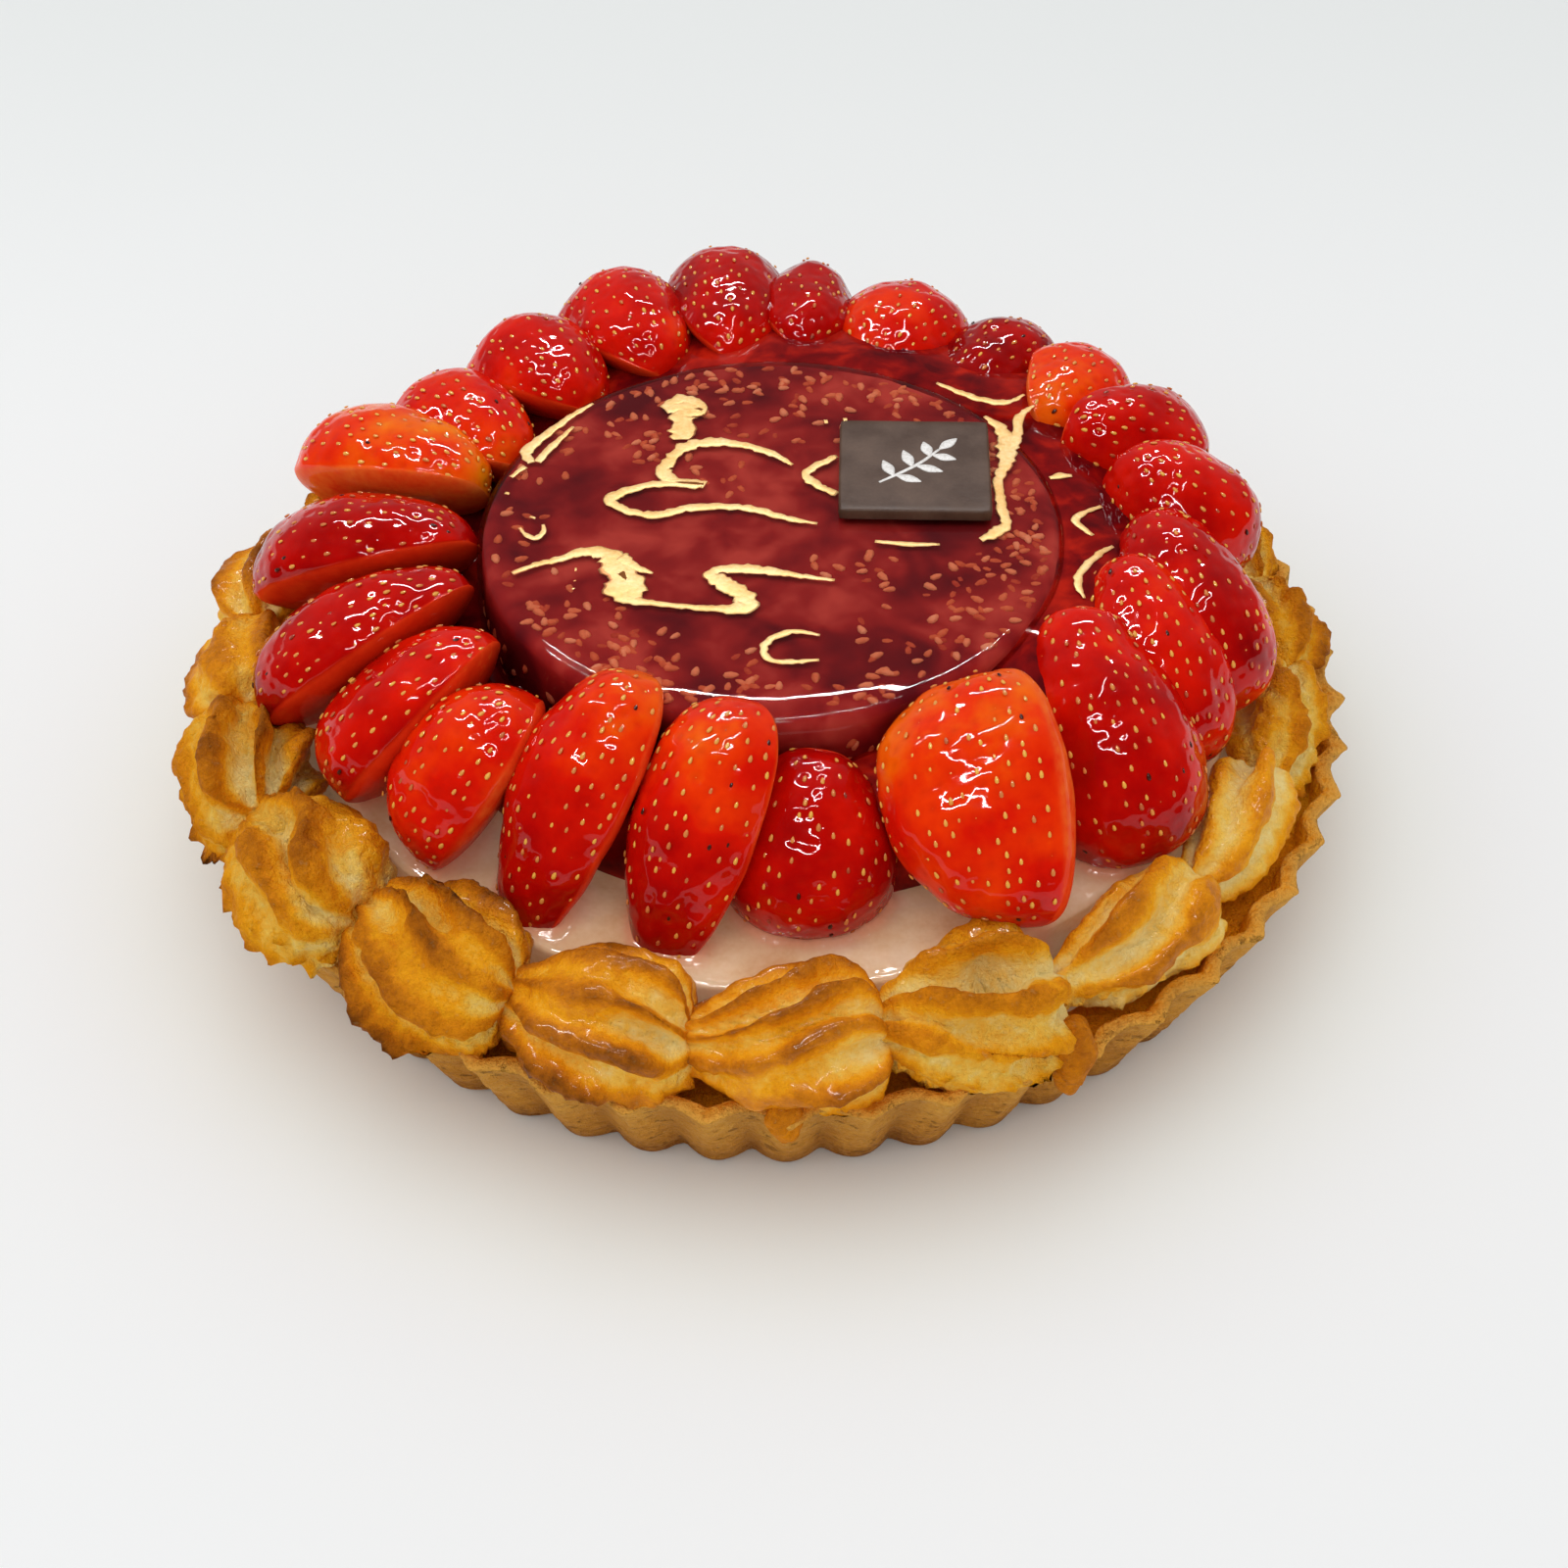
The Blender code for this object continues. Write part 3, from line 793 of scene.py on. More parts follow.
# Azimuth in degrees, nearest and farthest radius and number of pips in each patch of the top
PIP_PATCHES = (
    (225, 30, 46, 44), (250, 30, 46, 52), (280, 34, 46, 24), (310, 24, 46, 36), (340, 26, 46, 44),
    (5, 32, 46, 36), (35, 34, 46, 24), (65, 24, 46, 40), (95, 20, 46, 54), (125, 24, 46, 44),
    (160, 34, 46, 16), (195, 34, 46, 14), (320, 8, 26, 14), (120, 4, 24, 9),
)
# First and last azimuth in degrees and number of pips along each part of the side
SIDE_PIPS = ((232, 300, 70), (300, 350, 30), (190, 232, 24))
# Length, width, height and how pointed
PIP_SHAPE = (2.3, 1.8, 1.1, 0.30)


def seed_recipe(name, material, length, width, height, pointed):
    """Tree that lays one small drop-shaped seed on every point of a mesh."""
    sizes = {"Length": length * MM, "Width": width * MM, "Height": height * MM}
    recipe = Recipe(name, {**sizes, "Pointed": pointed, "Size Spread": 0.16, "Seed": 7})
    plan, given = recipe.plan, recipe.given
    ball = plan.add("GeometryNodeMeshUVSphere", {"Segments": 6, "Rings": 4, "Radius": 0.5})
    place = plan.add("GeometryNodeInputPosition")
    across, ahead, rise = (plan.axis(place, axis) for axis in "XYZ")
    thin = 1.0 - given["Pointed"] * (rise + 0.5) * 1.6
    drop_place = {
        "X": rise * given["Length"],
        "Y": across * thin * given["Width"],
        "Z": ahead * thin * given["Height"],
    }
    drop_place = plan.add("ShaderNodeCombineXYZ", drop_place)
    drop = plan.add("GeometryNodeSetPosition", {"Geometry": ball, "Position": drop_place})
    drop = plan.add("GeometryNodeSetShadeSmooth", {"Geometry": drop})
    facing, lie = (
        plan.add("GeometryNodeInputNamedAttribute", {"Name": label}, data_type="FLOAT_VECTOR")
        for label in ("facing", "lie")
    )
    axes = {0: facing, 1: lie}
    turn = plan.add("FunctionNodeAxesToRotation", axes, primary_axis="Z", secondary_axis="X")
    spread = given["Size Spread"]
    limits = {2: 1.0 - spread, 3: spread + 1.0, "Seed": given["Seed"]}
    size = plan.add("FunctionNodeRandomValue", limits, out=1, data_type="FLOAT")
    laid = {"Points": given["Geometry"], "Instance": drop, "Rotation": turn, "Scale": size}
    recipe.finish(plan.add("GeometryNodeInstanceOnPoints", laid), material)
    return recipe


def point_mesh(name, places, facing, lie, shade):
    """Mesh of loose points that carry which way a seed faces and lies, and its shade."""
    mesh = bpy.data.meshes.new(name)
    mesh.vertices.add(len(places))
    mesh.vertices.foreach_set("co", (places * MM).ravel())
    for label, values in (("facing", facing), ("lie", lie)):
        layer = mesh.attributes.new(label, "FLOAT_VECTOR", "POINT")
        layer.data.foreach_set("vector", values.ravel())
    mesh.attributes.new("shade", "FLOAT", "POINT").data.foreach_set("value", shade)
    return mesh


def build_pips(material):
    """Raspberry pips in the jelly, thickest towards its rim, in front and on the right."""
    chance = np.random.default_rng(21)
    places, shades = [], []
    for azimuth, low, high, number in PIP_PATCHES:
        spin = np.radians(azimuth + chance.uniform(-17, 17, number))
        out = low + (high - low) * np.sqrt(chance.uniform(0, 1, number))
        level = chance.uniform(0.15, 1.0, number)
        spot = turned(spin, out, JELLY_TOP - JELLY_SKIN - 0.25 + 0.35 * level)
        places.append(spot - jelly_fall(spot)[:, None] * [0, 0, 1])
        shades.append(0.05 + 0.75 * level)
    for low, high, number in SIDE_PIPS:
        spin = np.radians(chance.uniform(low, high, number))
        out, height = JELLY_RADIUS - JELLY_SKIN + 0.9, chance.uniform(34, 51, number)
        places.append(turned(spin, out, height))
        shades.append(chance.uniform(0.2, 0.8, number))
    places, shades = np.concatenate(places), np.concatenate(shades)
    side = places[:, 2] < JELLY_TOP - JELLY_EDGE
    facing = np.where(side[:, None], places * [1, 1, 0], [0, 0, 1]).astype(float)
    facing /= np.linalg.norm(facing, axis=1, keepdims=True)
    lie = chance.normal(size=places.shape)
    recipe = seed_recipe("pips", material, *PIP_SHAPE)
    mesh = recipe.run(point_mesh("pip_places", places, facing, lie, shades))
    place_piece("jelly_pips", mesh, material)


# --- plaque and gold


# Height and inset of each ring of the plaque
PLAQUE_PROFILE = (
    (0.0, 4.0), (0.0, 1.0), (0.0, 0.25), (0.1, 0.05), (0.4, 0.0), (1.5, 0.0), (1.8, 0.06),
    (1.95, 0.2), (2.0, 0.45), (2.0, 1.5), (2.0, 5.0), (2.0, 9.0),
)
PLAQUE_LIFT = 0.3
# The sprig's stem as (x, y, width) points, and each leaf's foot, direction in degrees and length
SPRIG_STEM = ((-6.0, -5.0, 0.5), (-2.5, -2.4, 0.7), (1.0, 0.6, 0.7), (4.2, 4.4, 0.5))
SPRIG_LEAVES = (
    (-3.6, -3.2, 112.0, 4.6), (-0.4, -0.6, 108.0, 4.8), (2.6, 2.4, 104.0, 4.2),
    (-3.2, -3.0, -22.0, 4.6), (0.2, -0.2, -20.0, 4.8), (3.0, 2.8, -16.0, 4.2),
    (4.2, 4.4, 46.0, 4.4),
)
LEAF_WIDTHS = ((0.0, 0.3), (0.25, 1.5), (0.5, 2.1), (0.75, 1.5), (1.0, 0.3))
PRINT_THICK = 0.16


def build_plaque(chocolate, white):
    """Square chocolate plaque with softened edges and a small printed sprig."""
    half = 0.5 * PLAQUE_SIDE
    angle = np.arange(PLAQUE_SIDES) * math.tau / PLAQUE_SIDES
    square = np.stack([np.cos(angle), np.sin(angle)], axis=-1)
    square = square / np.max(np.abs(square), axis=1, keepdims=True)
    rings = []
    for height, inset in PLAQUE_PROFILE:
        ring = square * (half - inset)
        corner = np.linalg.norm(ring, axis=1) > (half - inset) * 1.40
        ring[corner] *= 0.985
        height = JELLY_TOP + PLAQUE_LIFT + height * PLAQUE_THICK / 2.0
        rings.append(np.column_stack([ring, np.full(PLAQUE_SIDES, height)]))
    grid = np.array(rings)
    grid[..., 2] += 0.05 * lumps(grid, 7.0, 5)
    skin = Skin().add(on_plaque(grid))
    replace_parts(skin.piece("chocolate_plaque", chocolate, "chocolate"), "plaque")

    top = JELLY_TOP + PLAQUE_LIFT + PLAQUE_THICK
    skin = Skin().add(on_plaque(stroke(SPRIG_STEM, top, PRINT_THICK, 1)))
    for x, y, turn, length in SPRIG_LEAVES:
        turn = math.radians(turn)
        across, ahead = length * math.cos(turn), length * math.sin(turn)
        leaf = [(x + across * share, y + ahead * share, width) for share, width in LEAF_WIDTHS]
        skin.add(on_plaque(stroke(leaf, top, PRINT_THICK, 2)))
    skin.piece("plaque_sprig", white, "chocolate")


def on_plaque(grid):
    """Turn points about the plaque's middle and carry them to its place."""
    cos, sin = math.cos(PLAQUE_TURN), math.sin(PLAQUE_TURN)
    turning = np.array([[cos, sin, 0.0], [-sin, cos, 0.0], [0.0, 0.0, 1.0]])
    return grid @ turning + [*PLAQUE_PLACE, 0.0]


def stroke(path, base, thick, seed, ragged=0.0):
    """Low rounded ribbon along (x, y, width) points, lying on a flat at height base."""
    path = np.array(path, dtype=float)
    padded = np.concatenate([[2 * path[0] - path[1]], path, [2 * path[-1] - path[-2]]])
    steps = []
    for at in range(1, len(padded) - 2):
        p0, p1, p2, p3 = padded[at - 1 : at + 3]
        for t in np.arange(0.0, 1.0, 0.125):
            curve = 2 * p1 + (p2 - p0) * t + (2 * p0 - 5 * p1 + 4 * p2 - p3) * t**2
            steps.append(0.5 * (curve + (3 * p1 - p0 - 3 * p2 + p3) * t**3))
    steps = np.array([*steps, path[-1]])
    ahead = np.gradient(steps[:, :2], axis=0)
    ahead /= np.maximum(np.linalg.norm(ahead, axis=1, keepdims=True), 1e-9)
    side = np.stack([-ahead[:, 1], ahead[:, 0]], axis=-1)
    spot = np.column_stack([steps[:, :2], np.zeros(len(steps))])
    width = np.maximum(steps[:, 2], 0.25)
    left, right = (
        0.5 * width * (1.0 + ragged * one_layer(spot / 0.8 + shift, seed)) for shift in (0.0, 40.0)
    )
    rings = []
    for turn in np.arange(10) * math.tau / 10:
        across, rise = math.cos(turn), math.sin(turn)
        reach = np.where(across > 0, left, right) * across
        height = base + thick * max(rise, -0.15) * np.minimum(1.0, width / 1.2)
        rings.append(np.column_stack([steps[:, :2] + side * reach[:, None], height]))
    return np.array(rings).transpose(1, 0, 2)


# Each brush stroke as (x, y, width) points: those on the jelly, then those on the glaze
GOLD_STROKES = (
    ((-42, -13, 0.9), (-39, -11.2, 1.3), (-35.5, -9.8, 1.5), (-31, -7.6, 2.2), (-27, -8.2, 3.6),
     (-25.2, -11.5, 5.2), (-24.2, -15, 5.2), (-24.2, -18, 5), (-22.2, -20, 2.6),
     (-18, -20.8, 1.3), (-12.9, -21.7, 1.3), (-7.8, -22.3, 2), (-4.4, -21.4, 3.6),
     (-4.6, -18.8, 3.8), (-7.6, -16, 3.4), (-9.6, -13.8, 2.8), (-8.4, -12.3, 2.2),
     (-4.6, -12.2, 2.6), (0.4, -13, 2), (5.5, -14.3, 1.2), (10.2, -15.2, 0.7)),
    ((-25, -9.2, 3.4), (-22.4, -11.4, 2), (-19.2, -13.2, 0.6)),
    ((-24.4, -13, 4.4), (-22.4, -15.4, 4.2), (-22.2, -18, 3.8), (-21.6, -19.6, 1.8)),
    ((7.6, -28.8, 0.6), (3.6, -27.8, 1.2), (0.2, -29.4, 1.3), (-1.2, -32, 1.4),
     (-0.2, -34.6, 1.2), (3.2, -35.1, 1.1), (7.4, -34.6, 0.6)),
    ((-19, 32.4, 1.6), (-15.6, 35.2, 3), (-12.2, 32.6, 2.8), (-15.4, 30.6, 4.4),
     (-15.4, 27.6, 4.8), (-15.6, 24.8, 4.6), (-15.6, 23.2, 3.2)),
    ((-18.6, 31.8, 2.6), (-15.4, 33.2, 3.2), (-12, 31.8, 2.2)),
    ((3.6, 15.8, 0.7), (0.6, 18.7, 1.5), (-3.6, 21, 1.8), (-8.3, 22.4, 2.2), (-12.2, 22.2, 2.6),
     (-15.2, 20.8, 2.8), (-17.2, 17.6, 2.6), (-18.4, 14.2, 2.6), (-16.2, 11.4, 2.6),
     (-11.4, 10.4, 2.4), (-15.8, 10.8, 2), (-22.2, 9.9, 1.8), (-26.4, 7.4, 2.2), (-26.8, 5.4, 2),
     (-23.6, 3.2, 1.8), (-19.2, 2, 2), (-14.4, 3.8, 1.8), (-7, 4.3, 1.8), (-2, 3.2, 1.6),
     (2.4, 1.1, 1.4), (7.6, -0.4, 0.7)),
    ((11.2, 18.2, 1), (8.3, 16, 1.8), (5.8, 13.2, 1.8), (7.4, 10.4, 1.8), (11, 7.5, 1.4)),
    ((9.2, 28.2, 1.4), (9.8, 28.3, 1.2)),
    ((12.5, 28.8, 1), (13.2, 28.9, 0.8)),
    ((37.3, 29.7, 0.7), (40, 25.6, 2.6), (40.6, 21.3, 4.2), (39.8, 15.5, 2.4), (38.4, 10.8, 1.8),
     (38.4, 4.1, 1.8), (38.9, -0.4, 1.8), (37.2, -3, 2.4), (34.4, -5, 1)),
    ((46.1, 32.9, 0.6), (43.5, 29.7, 1.6), (42.4, 24, 2), (41.4, 20.6, 2.2)),
    ((29.4, 39.9, 0.7), (34, 36.4, 1.4), (38.9, 34, 1.6), (42.2, 34.2, 1.2), (44.6, 36.2, 0.6)),
    ((17, -5.2, 0.6), (22.4, -6, 1.2), (27.6, -6.1, 0.6)),
    ((-39.8, 1.4, 1.1), (-39.6, 1.8, 1)),
    ((-41.7, -1, 0.6), (-40.6, -2.9, 0.9), (-38.9, -3.9, 1.1), (-37.7, -2.4, 1),
     (-37.9, -0.3, 0.6)),
    ((-31.4, 34.2, 0.7), (-35, 30.4, 1.3), (-37.8, 26.6, 1.6), (-42, 20.4, 2.2),
     (-41, 16.8, 1.2)),
    ((-34.5, 27.2, 0.7), (-38, 21, 1.4), (-40, 17, 1.4)),
    ((-42, 15.7, 1.2), (-44.2, 12.9, 0.8)),
    ((-44.6, 8.1, 1), (-44.4, 8.6, 0.9)),
    ((-31.9, -12.1, 0.9), (-31.6, -12.1, 0.8)),
    ((-31.8, -14.9, 0.7), (-31.7, -15.1, 0.6)),
    ((-31.9, -16.9, 0.6), (-31.8, -17.1, 0.5)),
)
GLAZE_GOLD_STROKES = (
    ((47.4, 14, 0.8), (49.4, 14.6, 1.6), (51.3, 14.8, 0.8)),
    ((55.6, 6.9, 0.6), (52.2, 4.2, 1.2), (50.8, 1.8, 1.6), (53.3, -1.6, 0.8)),
    ((56.5, -3.7, 0.6), (53.8, -6.5, 1.2), (50.4, -11.3, 1.5), (49.6, -14.6, 1.2),
     (50.4, -17.8, 0.6)),
)
GOLD_THICK = 0.12
GOLD_RAGGED = 0.34


def build_gold(material):
    """Gold lustre brush marks on the jelly's top and on the glaze beside it."""
    skin = Skin()
    for number, path in enumerate(GLAZE_GOLD_STROKES):
        ribbon = stroke(path, 0.0, GOLD_THICK, 90 + number, GOLD_RAGGED)
        ribbon[..., 2] += glaze_top(ribbon) + GOLD_THICK
        skin.add(ribbon)
    for number, path in enumerate(GOLD_STROKES):
        ribbon = stroke(path, JELLY_TOP - 0.04, GOLD_THICK, 60 + number, GOLD_RAGGED)
        ribbon[..., 2] -= jelly_fall(ribbon)
        skin.add(ribbon)
    skin.piece("gold_brush_marks", material, "jelly")


# --- choux shells

Shell = namedtuple("Shell", "azimuth radius height length width tall ridges twist toast rough")
FRONT_SHELLS = (
    Shell(268.7, 87.5, 27.5, 38, 21.0, 20, 9, 14, 0.43, 0.7),
    Shell(286.5, 87.8, 27.5, 38, 22.0, 22, 7, -34, 0.29, 1.2),
    Shell(306.5, 88.0, 27.5, 38, 14.5, 20, 5, 26, 0.30, 0.9),
    Shell(326.0, 86.6, 27.5, 38, 13.0, 18, 5, 30, 0.22, 0.9),
    Shell(343.5, 87.0, 26.5, 37, 14.0, 15, 6, 30, 0.28, 1.6),
)
BACK_SHELL = Shell(0.0, 87.5, 26.0, 33, 14.5, 15, 7, 20, 0.36, 1.6)
BACK_SHELL_COUNT = 10
LEFT_SHELLS = (
    Shell(528.0, 89.0, 28.5, 31, 18.5, 19, 7, -10, 0.40, 0.9),
    Shell(542.5, 89.0, 29.0, 32, 20.0, 21, 7, -20, 0.42, 1.0),
    Shell(557.5, 91.6, 29.0, 34, 20.5, 23, 7, -24, 0.38, 1.4),
    Shell(573.5, 91.4, 29.0, 39, 23.0, 23, 7, -26, 0.36, 1.4),
    Shell(591.5, 88.8, 28.0, 40, 22.0, 22, 8, -22, 0.47, 1.2),
    Shell(610.0, 87.5, 27.5, 38, 21.0, 21, 8, -14, 0.47, 0.8),
)
RIDGE_DEPTH = 0.36
SHELL_SWELL = 0.36
RIM_APPROACH = 86.5
# Radii where the syrup on the shells ends and where it is thickest
SYRUP_END, SYRUP_FULL = 88.0, 79.0
DRIP_TOAST = 0.68
# For a shell's number: azimuth, radius, height, width, drop and seed of each lump over the lip
DRIPS = {1: ((271.0, 97.0, 20.5, 5.0, 9.0, 71),), 2: ((297.5, 97.0, 22.0, 6.5, 14.0, 72),)}
# For a shell's number: azimuth, radius, height, size and push of each knob (a hollow if below 0)
KNOBS = {
    2: (
        (291.0, 88.5, 36.0, 4.0, -4.0),
        (284.0, 93.5, 33.0, 5.0, 2.0),
        (294.5, 92.0, 32.0, 4.0, 1.5),
    ),
    3: ((315.5, 95.0, 28.0, 4.0, 3.0),),
}


def all_shells():
    """Every shell in order, the back ones evenly spread between the front and left ones."""
    start, end = FRONT_SHELLS[-1].azimuth, LEFT_SHELLS[0].azimuth
    step = (end - start) / (BACK_SHELL_COUNT + 1)
    places = range(1, BACK_SHELL_COUNT + 1)
    back = [BACK_SHELL._replace(azimuth=start + step * place) for place in places]
    return [*FRONT_SHELLS, *back, *LEFT_SHELLS]


def shell_grid(shell, seed, knobs):
    """Star-piped shell: ridges run along it from a narrow tail to a blunt head."""
    lean, around = ball_angles(84, 120)
    along = -np.cos(lean)
    girth = np.sin(lean) ** np.where(along > 0.0, 0.60, 0.80)
    sphere = np.broadcast_arrays(girth * np.cos(around), girth * np.sin(around), along)
    sphere = np.stack(sphere, axis=-1)
    start = np.random.default_rng(seed).uniform(0.0, math.tau, 3)
    sway = 0.18 * np.sin(around + start[0]) + 0.20 * lumps(sphere, 0.8, seed)
    sway = sway + 0.26 * np.sin(2.0 * along + start[1])
    crest = 0.5 + 0.5 * np.cos(shell.ridges * (around + sway) + start[2])
    uneven = np.clip(1.0 + 1.1 * lumps(sphere, 0.8, seed + 5), 0.15, 1.9)
    ridge = 1.0 + RIDGE_DEPTH * uneven * (crest**0.8 - 0.6)
    swell = girth * ridge * (1.0 + SHELL_SWELL * along) * (1.0 - 0.5 * smooth(-along, 0.0, 0.75))
    spin = around + math.radians(shell.twist) * along
    out = swell * np.cos(spin) * 0.5 * shell.width
    up = swell * np.sin(spin) * 0.5 * shell.tall
    azimuth = math.radians(shell.azimuth) + along * 0.5 * shell.length / shell.radius
    grid = turned(azimuth, shell.radius + out, shell.height + up)
    swelling = 0.75 * lumps(grid, 6.5, seed + 1, 2) + 0.42 * lumps(grid, 2.4, seed + 2, 3)
    overhang = smooth(np.cos(spin), 0.0, 0.8) * smooth(-np.sin(spin), -0.5, 0.3)
    crags = np.maximum(0.0, lumps(grid, 2.1, seed + 3, 3)) ** 1.2 * overhang
    push = shell.rough * (swelling + 1.2 * crags) - 0.4
    for *place, size, reach in knobs:
        away = np.linalg.norm(grid - mm_at(place), axis=-1)
        push = push + reach * np.exp(-((away / size) ** 2))
    grid = swollen(grid, push)
    radius = np.hypot(grid[..., 0], grid[..., 1])
    kept = np.maximum(radius, CUSTARD_RADIUS - 1.0 + 0.4 * lumps(grid, 5.0, 90))
    grid[..., :2] *= (kept / radius)[..., None]
    climb = RIM_HEIGHT - 1.2 - LEDGE_HEIGHT
    rest = LEDGE_HEIGHT + climb * smooth(kept, RIM_APPROACH - 1.5, RIM_APPROACH + 1.0)
    rest = rest - 2.5 * smooth(kept, RIM_RADIUS, RIM_RADIUS + 2.5)
    grid[..., 2] = np.maximum(grid[..., 2], rest)
    height = (grid[..., 2] - shell.height) / (0.5 * shell.tall)
    contrast = (0.20 + 0.56 * shell.toast) * (0.3 + 0.7 * uneven)
    toast = (
        shell.toast + 0.02
        + contrast * (smooth(crest, 0.0, 1.0) - 0.46)
        + 0.08 * np.clip(height, -1.0, 1.0)
        + 0.20 * crags * shell.rough
        - 0.40 * smooth(-along, 0.40, 0.95)
        - 0.14 * smooth(along, 0.55, 0.95)
    )
    return grid, toast


def choux_drip(azimuth, radius, height, size, drop, seed):
    """Lump of choux paste that ran down over the crust's lip."""
    lean, around = ball_angles(20, 24)
    out = np.sin(lean) * np.cos(around) * 0.5 * size
    side = np.sin(lean) * np.sin(around) * 0.5 * size
    azimuth = math.radians(azimuth) + side / radius
    grid = turned(azimuth, radius + out, height - 0.5 * drop * np.cos(lean))
    return swollen(grid, 0.9 * lumps(grid, 3.0, seed, 3))


def build_shells(material):
    """Ring of shells, glazed on the side towards the fruit and where they are smooth."""
    for number, shell in enumerate(all_shells(), 1):
        grid, toast = shell_grid(shell, 100 + 7 * number, KNOBS.get(number, ()))
        glaze = smooth(np.hypot(grid[..., 0], grid[..., 1]), SYRUP_END, SYRUP_FULL)
        glaze = np.maximum(glaze, np.clip(1.2 - shell.rough, 0.0, 0.5))
        skin = Skin().add(grid, toast=toast, glaze=glaze, grain=shell.rough)
        for drip in DRIPS.get(number, ()):
            skin.add(choux_drip(*drip), toast=DRIP_TOAST, glaze=0.1, grain=1.0)
        piece = skin.piece(f"choux_shell_{number:02d}", material, "choux")
        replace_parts(piece, f"choux_{number:02d}")


# --- strawberries

# Foot and head are azimuth in degrees, radius and height; low and high say how ripe they are at
# the foot and at the head, the darker foot partly painted shade
Berry = namedtuple("Berry", "foot head wide deep turn taper low high")
BERRIES = (
    Berry((219, 77, 31), (223, 57, 56), 25, 19, 40, 0.05, 0.58, 0.46),
    Berry((236, 77, 28), (239, 46, 60), 25, 18, 40, -0.12, 0.88, 0.30),
    Berry((253, 75, 28), (261, 47, 60), 24, 17, 40, -0.15, 0.90, 0.28),
    Berry((273, 69, 28), (277, 55, 54), 27, 17, 80, 0.28, 0.76, 0.70),
    Berry((292.8, 79.5, 34.8), (301.5, 47.5, 57), 25, 30, -4, -0.09, 0.58, 0.20),
    Berry((315, 81, 33), (330, 53, 60), 27, 18, 45, 0.25, 0.72, 0.60),
    Berry((328, 75, 36), (347, 58, 60), 25, 17, 30, 0.25, 0.66, 0.50),
    Berry((338, 78, 39), (360, 62, 60), 25, 17, 25, 0.25, 0.74, 0.60),
    Berry((362, 79, 40), (371, 62, 60), 26, 17, 20, 0.25, 0.70, 0.60),
    Berry((381, 82, 42), (382, 58, 58), 25, 16, 25, 0.25, 0.70, 0.55),
    Berry((400, 81, 45), (390, 60, 57), 22, 17, 45, 0.25, 0.48, 0.38),
    Berry((412, 83, 45), (411, 58, 54), 23, 16, 60, 0.22, 0.90, 0.86),
    Berry((429, 84, 46), (427, 57, 55), 28, 18, 75, 0.20, 0.58, 0.48),
    Berry((444, 87, 46), (441, 57, 56), 20, 15, 50, 0.20, 0.84, 0.82),
    Berry((454, 90, 47), (454, 55, 57), 24, 18, 50, 0.25, 0.76, 0.66),
    Berry((470, 87, 47), (469, 55, 57), 25, 19, 55, 0.25, 0.70, 0.54),
    Berry((486, 80, 47), (487, 52, 57), 25, 19, 50, 0.25, 0.64, 0.50),
    Berry((503, 78, 46), (508, 50, 56), 25, 19, 45, 0.25, 0.54, 0.38),
    Berry((514, 87, 42), (519, 53, 58), 29, 19, 36, 0.25, 0.42, 0.18),
    Berry((532, 87, 38), (537, 51, 58), 29, 18, 40, 0.25, 0.80, 0.66),
    Berry((552, 87, 35), (550, 53, 57), 30, 17, 42, 0.25, 0.86, 0.70),
    Berry((566, 80, 33), (567, 54, 57), 29, 17, 38, 0.25, 0.74, 0.50),
)
BERRY_DOME = 0.75
BERRY_CUT_DEPTH = 0.24
BERRY_SETBACK = 0.35
BERRY_BLUNTNESS = 0.80
DIMPLE_DEPTH = 0.24
DIMPLE_REACH = 0.70
ACHENE_SPACING = 2.10
ACHENE_SHAPE = (1.16, 0.84, 0.50, 0.26)
DARK_ACHENES = 0.03
BERRY_SINK = 2.5


def mm_at(place):
    """Point in space from its azimuth in degrees, radius and height."""
    azimuth, radius, height = place
    return turned(math.radians(azimuth), radius, height)


def berry_axes(berry):
    """A berry's middle, length and the directions across it, out of its dome and along it."""
    foot, head = mm_at(berry.foot), mm_at(berry.head)
    middle = 0.5 * (foot + head)
    length = np.linalg.norm(head - foot)
    along = (head - foot) / length
    outwards = middle * [1, 1, 0] / np.linalg.norm(middle[:2])
    clockwise = np.cross(outwards, [0, 0, 1])
    clockwise = clockwise - along * np.dot(clockwise, along)
    clockwise /= np.linalg.norm(clockwise)
    raised = np.cross(along, clockwise)
    if np.dot(raised, outwards) < 0.0:
        raised = -raised
    turn = math.radians(berry.turn)
    dome = math.cos(turn) * clockwise + math.sin(turn) * raised
    return middle, length, np.cross(along, dome), dome, along


def spread_out(points, spacing):
    """Pick points as far from each other as they can be, until they are spacing apart."""
    picked = [0]
    nearest = np.linalg.norm(points - points[0], axis=1)
    while nearest.max() > spacing:
        picked.append(int(nearest.argmax()))
        nearest = np.minimum(nearest, np.linalg.norm(points - points[picked[-1]], axis=1))
    return np.array(picked)


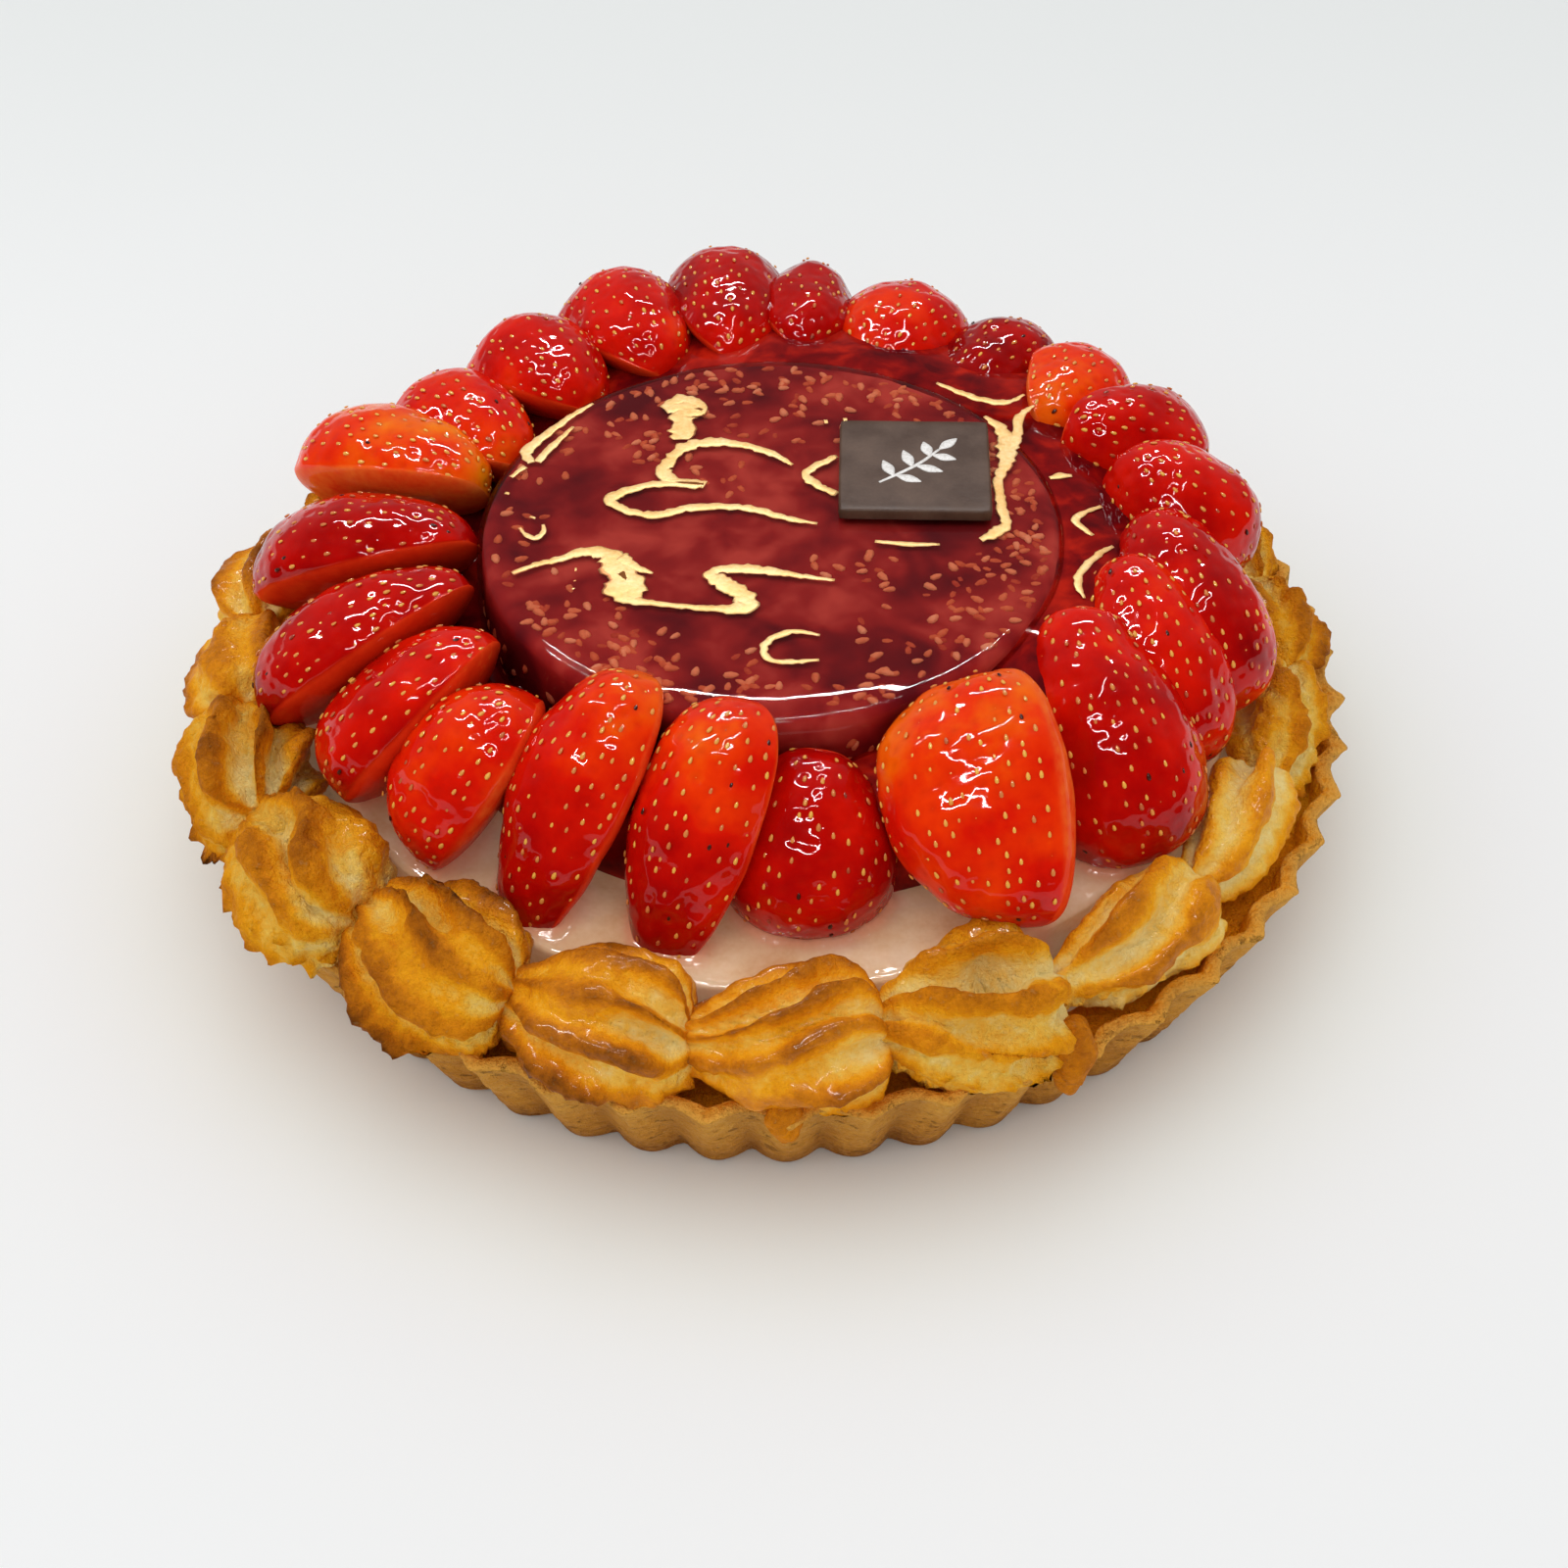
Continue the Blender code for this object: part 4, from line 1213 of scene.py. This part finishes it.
def berry_grid(berry, seed, chance):
    """Strawberry half with a dimpled domed skin and a smooth, nearly flat cut face."""
    middle, length, across, dome, along = berry_axes(berry)
    lean, around = ball_angles(92, 120)
    z, girth = -np.cos(lean), np.sin(lean)
    swell = girth ** (BERRY_BLUNTNESS - 1.0) * (1.0 - berry.taper * z)
    bow = np.sin(around)
    bow = np.where(bow > 0.0, BERRY_DOME * bow, -BERRY_CUT_DEPTH * np.abs(bow) ** 0.7)
    side = girth * np.cos(around) * swell * 0.5 * berry.wide
    rise = girth * bow * swell * berry.deep - BERRY_SETBACK * berry.deep
    lift = np.broadcast_to(z * 0.5 * length, side.shape)
    grid = middle + across * side[..., None] + dome * rise[..., None] + along * lift[..., None]
    skin_side = smooth(np.sin(around) + 0.0 * girth, -0.30, -0.12)
    grid = swollen(grid, 0.55 * lumps(grid, 8.0, seed, 2) * (0.4 + 0.6 * skin_side) - 0.15)
    normal = faces_out(grid)

    usable = (np.sin(around) > -0.05) & (np.abs(z) < 0.97)
    candidates = grid[usable]
    picked = spread_out(candidates, ACHENE_SPACING)
    places = candidates[picked] + chance.normal(scale=0.25, size=(len(picked), 3))
    facing = normal[usable][picked]
    flat = grid.reshape(-1, 3)
    nearest = np.full(len(flat), 99.0)
    for place in places:
        nearest = np.minimum(nearest, np.linalg.norm(flat - place, axis=1))
    seat = np.exp(-((nearest / DIMPLE_REACH) ** 2)).reshape(side.shape) * skin_side
    grid = grid - normal * (DIMPLE_DEPTH * seat)[..., None]
    grid[..., 2] = np.maximum(grid[..., 2], CUSTARD_TOP - BERRY_SINK)

    share = 0.5 + 0.5 * z
    # Skin tone runs from low at the foot to high at the head: ripeness, with painted shade
    # darkening the lower end.
    ripe = berry.low + (berry.high - berry.low) * share + 0.15 * lumps(grid, 8.0, seed + 3, 2)
    marks = {"ripe": ripe, "cut": 1.0 - skin_side, "seat": seat}
    clear = places[:, 2] > CUSTARD_TOP
    places = places - facing * (0.80 * DIMPLE_DEPTH)
    lie = np.broadcast_to(along, facing[clear].shape)
    return grid, marks, (places[clear], facing[clear], lie, ripe[usable][picked][clear])


def grow_berries():
    """Points, marks and achene places of every strawberry, in order."""
    chance = np.random.default_rng(5)
    numbered = enumerate(BERRIES, 1)
    return [berry_grid(berry, 400 + 11 * number, chance) for number, berry in numbered]


def build_berries(grown, material, achene):
    """The strawberry halves, and all their achenes as one piece."""
    for number, (grid, marks, seeds) in enumerate(grown, 1):
        piece = Skin().add(grid, **marks).piece(f"strawberry_{number:02d}", material, "strawberry")
        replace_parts(piece, f"berry_{number:02d}")
    places, facings, lies, seed_ripe_and_shade = (
        np.concatenate(rows) for rows in zip(*(seeds for grid, marks, seeds in grown))
    )
    chance = np.random.default_rng(6)
    # Achenes are darker on darker skin, so they share the painted shade towards each berry's foot.
    shade = np.clip(chance.normal(0.82, 0.16, len(places)) - 0.42 * seed_ripe_and_shade, 0.12, 1.0)
    shade[chance.uniform(size=len(places)) < DARK_ACHENES] = 0.0
    recipe = seed_recipe("achenes", achene, *ACHENE_SHAPE)
    mesh = recipe.run(point_mesh("achene_places", places, facings, lies, shade))
    place_piece("achenes", mesh, achene)


# --- studio

FLOOR_REACH = 6.0
LAMP_AIM = Vector((0.0, 0.0, 0.04))
# Name, place in metres, width, depth, watts, and if it gives highlights and if it gives light
LAMPS = (
    ("key", (-0.40, 0.05, 1.30), 1.9, 1.9, 7.0, False, True),
    ("strip_back", (0.02, 0.55, 0.75), 0.55, 0.030, 6.0, True, False),
    ("strip_left", (-0.40, 0.15, 0.80), 0.030, 0.40, 4.0, True, False),
    ("strip_over", (0.10, -0.08, 0.90), 0.45, 0.025, 2.2, True, False),
    ("strip_front", (-0.12, -0.42, 0.80), 0.40, 0.025, 2.4, True, False),
)
CAMERA_PLACE = (0.00183, -0.3178, 0.3039)
CAMERA_TILT = math.radians(45.8453)
CAMERA_ROLL = math.radians(-0.3221)
CAMERA_LENS = 55.4856


def build_studio(floor_material):
    """Pale floor, soft light from above and narrow lamps that only give highlights."""
    scene = bpy.context.scene
    mesh = bpy.data.meshes.new("floor")
    size = FLOOR_REACH
    mesh.from_pydata([(-size, -size, 0), (size, -size, 0), (size, size, 0), (-size, size, 0)],
                     [], [(0, 1, 2, 3)])
    mesh.materials.append(floor_material)
    floor = link_new("floor", mesh)

    world = bpy.data.worlds.new("studio")
    scene.world = world
    world.use_nodes = True
    plan = Plan(world.node_tree)
    look = plan.add("ShaderNodeTexCoord", out="Generated")
    ahead, height = (plan.axis(look, axis) for axis in "YZ")
    room = plan.between(ahead + height * 0.4, -0.1, 1.0, 0.03, 0.26)
    glossy = plan.add("ShaderNodeLightPath", out="Is Glossy Ray")
    seen = plan.mix(glossy, (0.985, 0.995, 1.0, 1.0), (1.0, 1.0, 1.0, 1.0))
    light = {"Color": seen, "Strength": glossy * (room - 0.74) + 0.74}
    background = plan.add("ShaderNodeBackground", light)
    plan.add("ShaderNodeOutputWorld", {"Surface": background})

    for name, place, across, down, power, gloss, diffuse in LAMPS:
        light = bpy.data.lights.new(name, "AREA")
        light.shape, light.size, light.size_y, light.energy = "RECTANGLE", across, down, power
        lamp = link_new(name, light)
        lamp.location = place
        lamp.rotation_euler = (LAMP_AIM - Vector(place)).to_track_quat("-Z", "Y").to_euler()
        lamp.visible_glossy, lamp.visible_diffuse, lamp.visible_camera = gloss, diffuse, False

    camera = bpy.data.cameras.new("camera")
    camera.lens, camera.sensor_width = CAMERA_LENS, 36.0
    camera.clip_start, camera.clip_end = 0.01, 20.0
    eye = link_new("camera", camera)
    tilt = Matrix.Rotation(CAMERA_TILT, 4, "X") @ Matrix.Rotation(CAMERA_ROLL, 4, "Z")
    eye.matrix_world = Matrix.Translation(CAMERA_PLACE) @ tilt
    scene.camera = eye
    scene.view_settings.view_transform = "Standard"


build_studio(floor_finish())
build_crust(crust_finish())
berries = grow_berries()
build_custard(custard_finish(), [grid for grid, *rest in berries])
build_jelly(jelly_finish(), clear_finish())
build_glaze(glaze_finish())
build_pips(pip_finish())
build_plaque(chocolate_finish(), icing_finish())
build_gold(gold_finish())
build_shells(choux_finish())
build_berries(berries, strawberry_finish(), achene_finish())
